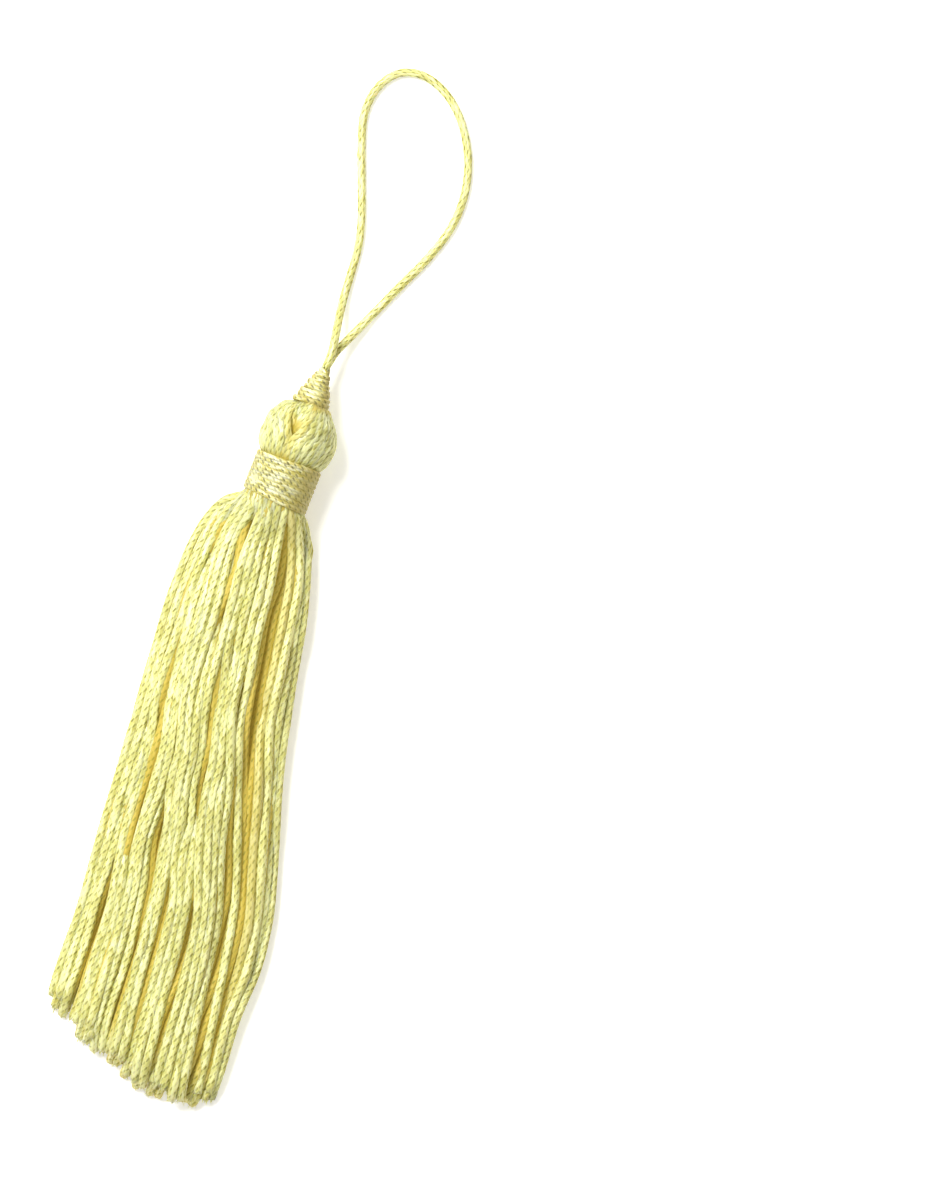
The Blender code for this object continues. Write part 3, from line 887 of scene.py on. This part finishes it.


# %% [markdown]
# The top layer has the broad hank of 18 yarns and the narrow bunch of 4, and a second
# layer closes the joints between them from below. Silk that lies in shade gets a painted
# golden shade: the second layer, the left side of the narrow bunch, in the shade of the
# main parting, and the flanks of every yarn, which look down into the pile. Where a yarn
# lies in the open, at its cut end and at the skirt's edges, it is pale again.

# %% Lay the two draped layers
LEFT_TURN = math.radians(196.0)
RIGHT_TURN = math.radians(-12.0)
PARTING_TURN = math.radians(52.0)
TOP_LAYER = (
    # yarns, left edge, right edge, first and last turn round the waist, painted golden shade on
    # the left side
    (18, edge(1), parting_side(-1.0), LEFT_TURN, PARTING_TURN, 0.0),
    (4, parting_side(1.0), edge(2), PARTING_TURN, RIGHT_TURN, 0.55),
)
SECOND_LAYER = ((20, edge(1, 1.4), edge(2, 1.6), LEFT_TURN, RIGHT_TURN, 0.0),)
LEFT_SHADE_FADE = 2.2  # the painted shade on the left side ends before the middle of its bunch
OPEN_END = 7.0  # of a yarn's length
OPEN_EDGE = 0.6  # of the skirt's width, on each side
FLANK_SHADE = 0.75  # how strong the painted golden shade on the flanks of a draped yarn is
FLANK_TOP = 0.62  # of the radius above the middle, where the flanks start
FLANK_EDGE = 1.2  # over which the painted golden shade on the flanks sets in, inwards from the edge
ROLL, TWIST, FLAT = 0.35, 0.01, 0.88


def golden(depth, length):
    """How deep a yarn lies along its length, which sets its painted golden shade: its cut end is
    in the open.
    """
    return lambda share: depth * np.clip((1.0 - share) * length / OPEN_END, 0.0, 1.0)


def from_edge(x, y):
    """How far a place lies inside the nearer edge of the skirt."""
    return np.minimum(x - read_table(SKIRT_EDGES, y, 1), read_table(SKIRT_EDGES, y, 2) - x)


def painted_flank_shade(tube, depth):
    """Depth at every point of a draped tube, with painted golden shade on the flanks, which look
    down into the pile.
    """
    x, y, z = np.moveaxis(tube["points"], -1, 0)
    up = (z - z.mean(axis=1, keepdims=True)) / YARN_RADIUS
    covered = np.clip((from_edge(x, y) - OPEN_EDGE) / FLANK_EDGE, 0.0, 1.0)
    flank_shade = FLANK_SHADE * np.clip(FLANK_TOP - up, 0.0, 1.0) * covered
    return np.maximum(depth(tube["reach"]), flank_shade)


def layer_tubes(bunches, sunk, drift, push, depth):
    tubes = []
    for count, left, right, first_turn, last_turn, painted_left_shade in bunches:
        for share, up in zip(*side_by_side(count, left, right)):
            turn = first_turn + share[0] * (last_turn - first_turn)
            line = draped_line(left, right, share, up, turn, sunk, drift, push)
            length = length_of(line)
            tube = knitted_tube(
                line,
                lambda t, length=length: opened(t, length),
                roll=dice.normal(0.0, ROLL),
                twist=dice.normal(0.0, TWIST),
                flat=FLAT,
                shade=dice.uniform(0.0, 1.0),
            )
            whole = depth + painted_left_shade * max(0.0, 1.0 - LEFT_SHADE_FADE * share[0])
            tube["depth"] = painted_flank_shade(tube, golden(whole, length))
            tubes.append(tube)
    return tubes


top_tubes = layer_tubes(TOP_LAYER, sunk=0.0, drift=0.18, push=1.0, depth=0.0)
second_tubes = layer_tubes(SECOND_LAYER, sunk=0.52, drift=0.5, push=0.4, depth=0.9)
yarn_piece("skirt_top_yarns", top_tubes, PALE_SILK, "yarn_hank")
yarn_piece("skirt_second_yarns", second_tubes, SHADED_SUNK_SILK, "yarn_hank")

# %% [markdown]
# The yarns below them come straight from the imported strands: they close the skirt's
# sides and its underside, and they show at the bottom of a parting. A strand that lies
# as high as the draped layers is left out, because they stand for it.

# %% Knit the strands deep in the pile
NOT_COVERED = -9.0
NEAR_ALONG, NEAR_ACROSS = 0.6, 0.9
SHADED_EDGE = 2.0  # over which the painted golden shade of a deep yarn sets in, inwards from the edge
LEAST_COVER = 0.4
COVER_PERCENTILE = 3
BAND_FOOT = 30.5  # y below which a deep yarn has to be covered
DEEP_RAISED = 0.22  # of the radius: a round yarn stands higher than its square strand
DEEP_DEPTH = 0.9
DEEP_CUT = 2  # points left off each deep yarn, so that the top ones end the skirt


def cover_over(line, covering):
    """How far each point of a line lies below the draped yarns, and if any is there."""
    gap = np.full(len(line), NOT_COVERED)
    for place in np.unique(np.round(line[:, 1])):
        here = np.flatnonzero(np.round(line[:, 1]) == place)
        over = covering[np.abs(covering[:, 1] - place) < NEAR_ALONG]
        if len(over) == 0:
            continue
        near = np.abs(over[:, 0][None] - line[here, 0][:, None]) < NEAR_ACROSS
        height = np.where(near, over[:, 2][None], NOT_COVERED).max(axis=1)
        gap[here] = height - line[here, 2]
    return gap


def shaded(line, depth):
    """How deep a yarn lies along its length, which sets its painted golden shade: in the open at
    the skirt's edges too.
    """
    inside = from_edge(line[:, 0], line[:, 1])
    cover = depth * np.clip((inside - OPEN_EDGE) / SHADED_EDGE, 0.0, 1.0)
    places = np.linspace(0.0, 1.0, len(line))
    from_end = golden(1.0, length_of(line))
    return lambda share: np.interp(share, places, cover) * from_end(share)


covering = np.concatenate([tube["middle"] for tube in top_tubes + second_tubes])
deep_tubes = []
for route in routes:
    raised = route.copy()
    raised[1:, 2] = np.maximum(route[1:, 2] + DEEP_RAISED * YARN_RADIUS, YARN_RADIUS)
    line = smooth_line(raised)
    cover = cover_over(line, covering)[line[:, 1] < BAND_FOOT]
    if np.percentile(cover, COVER_PERCENTILE) < LEAST_COVER:
        continue
    line = line[:-DEEP_CUT]
    length = length_of(line)
    deep_tubes.append(knitted_tube(
        line,
        lambda t, length=length: opened(t, length),
        roll=dice.uniform(0.0, 2.0 * np.pi),
        depth=shaded(line, DEEP_DEPTH),
        shade=dice.uniform(0.0, 1.0),
    ))
deep_tubes.sort(key=lambda tube: tube["middle"][:, 2].mean())
half = len(deep_tubes) // 2
yarn_piece("skirt_lowest_yarns", deep_tubes[:half], SHADED_SUNK_SILK, "yarn_hank")
yarn_piece("skirt_inner_yarns", deep_tubes[half:], SHADED_SUNK_SILK, "yarn_hank")

# %% [markdown]
# ## The head
#
# Above the band the hank is folded over the cord. It falls into two lobes with a small
# opening between them, and a few yarns sink behind that opening on their way to the
# neck. Every yarn is a line of turns round the head's axis: at the band, at the fullest
# part and at the neck. A ray shot inwards finds the surface it lies on.

# %% Yarns round the head
LOBES = (
    # yarns, then first and last turn in degrees at each of the stations
    (16, (-86.0, 97.0), (-87.0, 93.5), (-87.0, 84.0), (-88.0, 81.0), (-90.0, 70.0)),
    (15, (105.0, 266.0), (107.0, 267.0), (116.0, 267.0), (124.0, 266.0), (144.0, 264.0)),
)
SUNK_YARNS = (
    # turn at the opening, above it, at the neck
    (93.0, 90.0, 80.0),
    (97.0, 96.0, 94.0),
    (101.0, 103.0, 108.0),
    (105.0, 109.0, 122.0),
    (108.0, 115.0, 135.0),
)
OPENING_ALONG = 9.3  # where they come up
HEAD_STATIONS = (6.0, 9.0, 10.3, 11.6, 14.6)  # along the head
HEAD_YARN_RADIUS = (0.50, 0.63, 0.64, 0.61, 0.48)
HEAD_YARN_FLAT = 0.76
HEAD_YARN_START, HEAD_YARN_STOP = 5.4, 15.2  # along, under the band and in the neck
HEAD_TOP = 14.3  # along, where the hank's own surface ends
LOWEST_LINE = 0.45  # keeps the yarns under the head off the table
RAY_REACH = 12.0  # well outside the head
HEAD_STEP, HEAD_SPACING = 0.45, 0.35  # between rays, and between the points of a line
FULL_CIRCLE = 2.0 * math.pi


def on_surface(tree, turn, along, axis_up=0.0, sink=0.0):
    """Where a ray towards the head's axis meets a surface, less a depth."""
    across, up = RAY_REACH * math.cos(turn), RAY_REACH * math.sin(turn)
    outside = in_head_frame(across, along, axis_up + up)
    axis = in_head_frame(0.0, along, axis_up)
    inward = (axis - outside) / RAY_REACH
    hit = tree.ray_cast(Vector(outside * MM), Vector(inward))[0]
    found = np.array(hit) / MM if hit else axis - 0.5 * inward
    return found + sink * inward


def head_yarn(turns, start, sinks, rise=2.5, **marks):
    """A yarn that follows its turns along the head, and sinks in by less as it rises."""
    along = np.arange(start, HEAD_YARN_STOP, HEAD_STEP)
    points = []
    for place in along:
        turn = math.radians(np.interp(place, HEAD_STATIONS, turns))
        sink = np.interp(place, (start, start + rise), sinks)
        read_at = min(place, HEAD_TOP)
        points.append(on_surface(hank, turn, read_at, sink=sink))
        points[-1] += in_head_frame(0, place, 0) - in_head_frame(0, read_at, 0)
    line = np.array(points)
    line[:, 2] = np.maximum(line[:, 2], LOWEST_LINE)
    for axis in range(3):
        line[:, axis] = rounded(line[:, axis], 2)
    line = smooth_line(line, HEAD_SPACING)
    span = along[-1] - start
    places = np.linspace(start, along[-1], len(line))
    on_axis = [in_head_frame(0.0, place, 0.0) for place in places]
    return knitted_tube(
        line,
        lambda t: np.interp(start + t * span, HEAD_STATIONS, HEAD_YARN_RADIUS),
        roll=dice.normal(0.0, ROLL),
        flat=HEAD_YARN_FLAT,
        outward=line - np.array(on_axis),
        shade=dice.uniform(0.0, 1.0),
        **marks,
    )


# %% [markdown]
# The two lobes meet in a valley. Their yarns lie deeper there and get a painted golden
# shade, and all the ends at the band and at the neck get the same painted shade, where
# they go under the band and the neck. The sunk yarns start low behind the opening, where
# they get a deep painted golden shade, and come up to the level of the lobes.

# %% Lay the two lobes and the sunk yarns
VALLEY_TURN, VALLEY_WIDTH = 100.0, 32.0  # the valley between the two lobes
LOBE_SINK, VALLEY_START, VALLEY_SINK = 0.50, 0.45, 0.10
OPENING_SINK, RISEN_SINK, OPENING_RISE = 1.3, 0.58, 2.2
END_DEPTH, END_SLOPE, END_START = 0.9, 4.0, 2.7
OPENING_DEPTH, OPENING_SLOPE, OPENING_START = 1.1, 4.5, 2.2
RISEN_DEPTH = 0.15  # of a sunk yarn that has come up to the lobes


def at_both_ends(share):
    """A head yarn gets painted golden shade where it meets the band and the neck."""
    from_middle = np.abs(2.0 * share - 1.0)
    return END_DEPTH * np.clip(from_middle * END_SLOPE - END_START, 0.0, 1.0)


def behind_opening(share):
    """A sunk yarn gets a deep painted golden shade where it starts."""
    start = OPENING_DEPTH * np.clip(OPENING_START - OPENING_SLOPE * share, 0.0, 1.0)
    return RISEN_DEPTH + start + at_both_ends(share)


head_tubes = []
for count, *spans in LOBES:
    for share in np.linspace(0.0, 1.0, count):
        turns = [first + share * (last - first) for first, last in spans]
        valley = np.clip(1.0 - abs(turns[2] - VALLEY_TURN) / VALLEY_WIDTH, 0.0, 1.0)
        head_tubes.append(head_yarn(
            turns,
            HEAD_YARN_START,
            (LOBE_SINK + VALLEY_START * valley, LOBE_SINK + VALLEY_SINK * valley),
            depth=lambda t, more=valley: more + at_both_ends(t),
        ))
for at_opening, above_it, at_neck in SUNK_YARNS:
    head_tubes.append(head_yarn(
        (at_opening, at_opening, at_opening, above_it, at_neck),
        OPENING_ALONG,
        (OPENING_SINK, RISEN_SINK),
        rise=OPENING_RISE,
        depth=behind_opening,
    ))
yarn_piece("head_yarns", head_tubes, PALE_SILK, "yarn_hank")

# %% [markdown]
# Between the yarns one looks down on more yarn. A plain core in the painted golden
# shade of deep silk fills the head, a little inside its yarns.

# %% A core for the head and the waist
CORE_SIDES = 24
CORE_SPACING = 0.5
CORE_TURNS = FULL_CIRCLE * np.arange(CORE_SIDES) / CORE_SIDES
# a depth of 1.25 gives the core the painted golden shade of deep silk
CORE_MARKS = {"depth": 1.25, "shade": 0.6}
HEAD_CORE_START, HEAD_CORE_SINK = 0.2, 0.95


def core_tube(tree, start, stop, sink, axis_up=None):
    """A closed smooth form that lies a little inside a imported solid."""
    rings = []
    for along in np.arange(start, stop, CORE_SPACING):
        up = axis_up(along) if axis_up else 0.0
        rings.append([on_surface(tree, turn, along, up, sink) for turn in CORE_TURNS])
    return plain_tube(rings, 0.5 + 0.02 * np.arange(len(rings)), **CORE_MARKS)


head_core = core_tube(hank, HEAD_CORE_START, HEAD_TOP, HEAD_CORE_SINK)
yarn_piece("head_core", [head_core], SHADED_SUNK_SILK, "yarn_hank")

# %% [markdown]
# ## The band and the neck
#
# Both are wound with a finer knitted yarn, pulled tight, so that each turn is a flat row
# of stitches pressed against the next. The turns climb a little across the band, and
# its upper turns climb the other way. The yarn is one long helix, and small waves keep
# the turns from looking machined. The flanks get a painted golden shade, the right one,
# which turns away from the lamp, more broadly.

# %% Wind the band
FINE_COLUMNS = 2  # one column of stitches shows on each turn
FINE_STITCH = 1.05
FINE_RADIUS = 0.35
FINE_FLAT = 0.80
BAND_TURNS = 10
BAND_LENGTH = 6.1
BAND_RADIUS = 4.8
BAND_LINE_RADIUS = BAND_RADIUS - 0.26  # the middle of the yarn
BAND_CORE_RADIUS = 4.2
LOWER_SLANT, UPPER_SLANT = -0.055, 0.045  # along per mm across
SIDE_SHADE = 0.75
RIGHT_FLANK, LEFT_FLANK, FLANK_BLEND = 0.30, 0.70, 0.35  # of the radius
HEAD_ACROSS = np.array([math.cos(HEAD_LEAN), -math.sin(HEAD_LEAN), 0.0])
STEPS_TO_A_TURN = 24.0
BAND_FIRST_TURN = math.radians(200.0)
BAND_MARGIN = 0.15  # from each rim to the middle of the yarn
BAND_WAVE, BAND_RIPPLE = 0.07, 0.05  # how far the turns stray along the head


def round_the_axis(radius, turn, along):
    return in_head_frame(radius * math.cos(turn), along, radius * math.sin(turn))


def wound_tube(line, outward, shade):
    """A fine yarn pulled tight, with its flat side outward."""
    return knitted_tube(
        line,
        FINE_RADIUS,
        columns=FINE_COLUMNS,
        stitch=FINE_STITCH,
        flat=FINE_FLAT,
        outward=outward,
        shade=shade,
    )


def painted_side_shade(points, radius):
    """Depth on a wound piece: painted golden shade on its flanks, the right one more broadly."""
    across = (points - WAIST) @ HEAD_ACROSS / radius
    right = np.clip((across - RIGHT_FLANK) / FLANK_BLEND, 0.0, 1.0)
    left = np.clip((-across - LEFT_FLANK) / FLANK_BLEND, 0.0, 1.0)
    return SIDE_SHADE * np.maximum(right, left)


band_line = []
for step in np.arange(0.0, BAND_TURNS, 1.0 / STEPS_TO_A_TURN):
    turn = FULL_CIRCLE * step + BAND_FIRST_TURN
    share = step / BAND_TURNS
    slant = LOWER_SLANT + share * (UPPER_SLANT - LOWER_SLANT)
    along = BAND_MARGIN + share * (BAND_LENGTH - 2.0 * BAND_MARGIN)
    along += slant * BAND_LINE_RADIUS * math.cos(turn)
    along += BAND_WAVE * math.sin(2.3 * turn) + BAND_RIPPLE * math.sin(5.1 * step + 1.0)
    band_line.append(round_the_axis(BAND_LINE_RADIUS, turn, along))
band_line = smooth_line(band_line, 0.3)
head_axis = unit(in_head_frame(0.0, 1.0, 0.0) - in_head_frame(0.0, 0.0, 0.0))
from_foot = band_line - WAIST
band_outward = from_foot - np.outer(from_foot @ head_axis, head_axis)
band_tube = wound_tube(band_line, band_outward, shade=0.4)
# painted golden shade on the band's flanks
band_tube["depth"] = painted_side_shade(band_tube["points"], BAND_RADIUS)
core_rings = [
    [round_the_axis(BAND_CORE_RADIUS, turn, along) for turn in CORE_TURNS]
    for along in (0.0, 2.0, 4.0, BAND_LENGTH)
]
band_core = plain_tube(core_rings, 0.1 * np.arange(len(core_rings)), **CORE_MARKS)
yarn_piece("band_yarn", [band_tube, band_core], WOUND_SILK, "waist_band")

# %% [markdown]
# The neck is a small lopsided cone, and it bends down towards the table with the cord.
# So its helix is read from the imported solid, with rays towards an axis that droops.

# %% Wind the neck
NECK_TURNS = 8.6
NECK_START, NECK_STOP = 14.75, 20.45  # along the head
NECK_FIRST_TURN = math.radians(240.0)
NECK_STEPS_TO_A_TURN = 36.0
NECK_SIZES = (3.0, 0.7)  # the radius at the foot and at the tip
NECK_SLANT = 0.12
NECK_SINK = 0.22  # of the yarn's line below the solid's surface
NECK_CORE_SINK = 0.45
NECK_DROOP, DROOP_POWER = 1.2, 1.4
NECK_WAVE = 0.08  # how far the turns stray along the head
NECK_FOOT_SHADE, NECK_FOOT_SHARE = 0.8, 0.28

neck = surface_of("neck_whipping")


def neck_axis(along):
    """How far the neck's axis has come down."""
    share = np.clip((along - NECK_START) / (NECK_STOP - NECK_START), 0, 1)
    return -NECK_DROOP * share ** DROOP_POWER


neck_line = []
for step in np.arange(0.0, NECK_TURNS, 1.0 / NECK_STEPS_TO_A_TURN):
    share = step / NECK_TURNS
    turn = FULL_CIRCLE * step + NECK_FIRST_TURN
    along = NECK_START - 0.15 + share * (NECK_STOP - NECK_START - 0.1)
    size = np.interp(share, (0, 1), NECK_SIZES)
    along += NECK_SLANT * (1.0 - share) * size * math.cos(turn)
    along += NECK_WAVE * math.sin(1.7 * turn)
    neck_line.append(on_surface(neck, turn, along, neck_axis(along), NECK_SINK))
neck_line = smooth_line(neck_line[::2], 0.25)
from_foot = neck_line - WAIST
neck_places = from_foot @ head_axis
neck_middles = np.array([in_head_frame(0.0, place, neck_axis(place)) for place in neck_places])
neck_tube = wound_tube(neck_line, neck_line - neck_middles, shade=0.5)
neck_size = np.linalg.norm(neck_line - neck_middles, axis=1)
neck_reach = np.linspace(0.0, 1.0, len(neck_line))
neck_radius = np.interp(neck_tube["reach"], neck_reach, neck_size)
# painted golden shade at the neck's foot, where it meets the head, and on its flanks
foot_shade = np.clip(1.0 - neck_tube["reach"] / NECK_FOOT_SHARE, 0.0, 1.0)
neck_side_shade = painted_side_shade(neck_tube["points"], neck_radius)
neck_tube["depth"] = np.maximum(NECK_FOOT_SHADE * foot_shade, neck_side_shade)
neck_core = core_tube(neck, NECK_START + 0.5, NECK_STOP, NECK_CORE_SINK, neck_axis)
yarn_piece("neck_yarn", [neck_tube, neck_core], WOUND_SILK, "neck_whipping")

# %% [markdown]
# ## The hanging loop
#
# The loop is one cord of the same knitted silk, and both of its ends are held in the
# neck.

# %% Lay the loop
CORD_DIAMETER = 1.2
CORD_ROUTE = (
    # x, y, height of the cord's middle
    (1.94, 52.76, 4.70),
    (2.12, 54.40, 4.60),
    (2.05, 56.50, 4.00),
    (1.80, 59.50, 2.45),
    (1.68, 62.60, 1.10),
    (1.80, 66.00, 0.64),
    (1.85, 70.00, 0.62),
    (1.25, 74.10, 0.62),
    (0.05, 78.80, 0.62),
    (-1.30, 84.00, 0.62),
    (-2.00, 88.30, 0.62),
    (-1.25, 92.00, 0.62),
    (0.95, 94.80, 0.62),
    (3.90, 95.60, 0.62),
    (6.80, 94.85, 0.62),
    (9.60, 92.85, 0.62),
    (12.00, 89.70, 0.62),
    (13.85, 85.30, 0.62),
    (14.50, 80.40, 0.62),
    (13.80, 75.70, 0.62),
    (11.80, 70.90, 0.62),
    (8.95, 66.00, 0.62),
    (6.20, 61.20, 0.75),
    (4.20, 57.60, 1.60),
    (2.75, 55.00, 2.65),
    (1.99, 52.75, 3.10),
)
loop_line = smooth_line(CORD_ROUTE, 0.5)
first_step = loop_line[0] - loop_line[3]
last_step = loop_line[-1] - loop_line[-4]
held = np.vstack([loop_line[0] + first_step, loop_line[::2], loop_line[-1] + last_step])
loop_tube = knitted_tube(
    smooth_line(held),
    CORD_DIAMETER / 2.0,
    roll=0.4,
    twist=0.02,
    depth=0.0,
    shade=0.15,
)
loop = yarn_piece("hanging_loop_cord", [loop_tube], PALE_SILK, "hanging_loop")

# %% [markdown]
# ## Cut ends
#
# Where a knitted yarn is cut, its filaments spring apart. Each end gets a few of them,
# as thin three-sided hairs.

# %% Fray the cut ends
FILAMENT_RADIUS = 0.09
FILAMENT_SIDES = 3
FILAMENT_TAPER = np.array([1.0, 0.9, 0.5])[:, None]
FILAMENT_LENGTHS = (0.4, 1.1)
FILAMENTS_TO_AN_END = 8
SPREAD = 0.6
ROOT_INSIDE = 0.3  # how far a filament starts inside its yarn


def filament(root, ahead):
    """One hair that leaves a cut end and bends outwards."""
    aside = dice.normal(0.0, 1.0, 3)
    aside -= ahead * (aside @ ahead)
    aside /= np.linalg.norm(aside)
    length = dice.uniform(*FILAMENT_LENGTHS)
    start = root + aside * dice.uniform(0.1, 0.45)
    line = np.array([
        start - ahead * ROOT_INSIDE,
        start + ahead * 0.4 * length + aside * 0.1 * SPREAD,
        start + ahead * length + aside * SPREAD * dice.uniform(0.2, 0.7) * length,
    ])
    line[:, 2] = np.maximum(line[:, 2], FILAMENT_RADIUS)
    across, up = frames_along(line)
    turn = FULL_CIRCLE * np.arange(FILAMENT_SIDES) / FILAMENT_SIDES
    size = FILAMENT_RADIUS * FILAMENT_TAPER
    rings = line[:, None] + (size * np.cos(turn))[..., None] * across[:, None]
    rings = rings + (size * np.sin(turn))[..., None] * up[:, None]
    number = np.array([0.4, 0.5, 0.6])
    return plain_tube(rings, number, depth=0.1, shade=dice.uniform(0.0, 1.0))


frays = []
for tube in top_tubes + second_tubes + deep_tubes:
    rings = tube["points"]
    root, before = rings[-1].mean(axis=0), rings[-4].mean(axis=0)
    ahead = (root - before) / np.linalg.norm(root - before)
    frays += [filament(root, ahead) for _ in range(FILAMENTS_TO_AN_END)]
yarn_piece("frayed_ends", frays, PALE_SILK, "yarn_hank")

# %% [markdown]
# ## The table, the light and the camera
#
# A flat lay is seen straight down, on a plain pale table that is lit a little from
# within, which keeps the shadows soft and pale.

# %% Table
TABLE_SIZE = 3.0  # metres
TABLE_GLOW = 0.38


def plain_table():
    bpy.ops.mesh.primitive_plane_add(size=TABLE_SIZE)
    top = bpy.context.object
    top.name = "table_top"
    paper = bpy.data.materials.new("table_paper")
    paper.use_nodes = True
    shader = paper.node_tree.nodes["Principled BSDF"]
    shader.inputs["Base Color"].default_value = (0.92, 0.92, 0.91, 1.0)
    shader.inputs["Roughness"].default_value = 0.9
    shader.inputs["Specular IOR Level"].default_value = 0.1
    shader.inputs["Emission Color"].default_value = (1.0, 1.0, 1.0, 1.0)
    shader.inputs["Emission Strength"].default_value = TABLE_GLOW
    top.data.materials.append(paper)
    print(f"table: {TABLE_SIZE:.0f} m square")


plain_table()

# %% [markdown]
# One broad soft lamp stands on the left, and a weak one on the right. The sky fills the
# shadows: it is white on the left and warm on the right, so the yarns that turn away
# from the lamp look more golden.

# %% Lamps
def soft_lamp(name, place, size, power, colour):
    lamp = bpy.data.lights.new(name, "AREA")
    lamp.shape = "DISK"
    lamp.size = size
    lamp.energy = power
    lamp.color = colour
    holder = bpy.data.objects.new(name, lamp)
    bpy.context.scene.collection.objects.link(holder)
    holder.location = place
    holder.rotation_euler = (-Vector(place)).to_track_quat("-Z", "Y").to_euler()
    print(f"{name}: {power} W, {size} m wide")


soft_lamp("key_lamp", (-0.35, 0.29, 0.66), 0.36, 8.9, (1.0, 0.99, 0.96))
soft_lamp("fill_lamp", (0.50, -0.20, 0.60), 0.50, 0.3, (1.0, 0.98, 0.92))

# %% Sky
SKY_LEFT, SKY_RIGHT = (1.0, 1.0, 1.0, 1.0), (0.54, 0.43, 0.19, 1.0)
SKY_STRENGTH = 0.54

sky = bpy.data.worlds.new("pale_sky")
sky.use_nodes = True
direction = sky.node_tree.nodes.new("ShaderNodeTexCoord")
sideways = sky.node_tree.nodes.new("ShaderNodeSeparateXYZ")
link(sky.node_tree, direction.outputs["Generated"], sideways.inputs[0])
to_the_right = smooth_step(sky.node_tree, sideways.outputs["X"], 0.1, 0.9)
background = sky.node_tree.nodes["Background"]
warmer = blend_colours(sky.node_tree, to_the_right, SKY_LEFT, SKY_RIGHT)
link(sky.node_tree, warmer, background.inputs["Color"])
background.inputs["Strength"].default_value = SKY_STRENGTH
bpy.context.scene.world = sky
print("sky strength:", SKY_STRENGTH)

# %% [markdown]
# The camera looks straight down, turned a little about its own axis, so that the tassel
# lies aslant in the frame. A long lens from far away keeps the sides of the yarns from
# leaning outwards.

# %% Camera
VIEW_HEIGHT = 0.168  # metres of the table that the frame takes in, from top to bottom
CAMERA_HEIGHT = 0.70
FOCUS_HEIGHT = 0.004  # about the middle of the pile
SENSOR = 36.0
MIDDLE = (0.0285, 0.0255)
CAMERA_TURN = math.radians(14.5)

lens = bpy.data.cameras.new("camera")
lens.sensor_width = SENSOR
lens.sensor_fit = "AUTO"
lens.lens = SENSOR * (CAMERA_HEIGHT - FOCUS_HEIGHT) / VIEW_HEIGHT
lens.clip_start, lens.clip_end = 0.01, 10.0
camera = bpy.data.objects.new("camera", lens)
bpy.context.scene.collection.objects.link(camera)
camera.location = (*MIDDLE, CAMERA_HEIGHT)
camera.rotation_euler = (0.0, 0.0, CAMERA_TURN)
bpy.context.scene.camera = camera
bpy.context.scene.view_settings.view_transform = "Standard"
print(f"camera: {lens.lens:.0f} mm lens")

# %% [markdown]
# Last, the scene is brought up to date.

# %% Finish
bpy.context.view_layer.update()
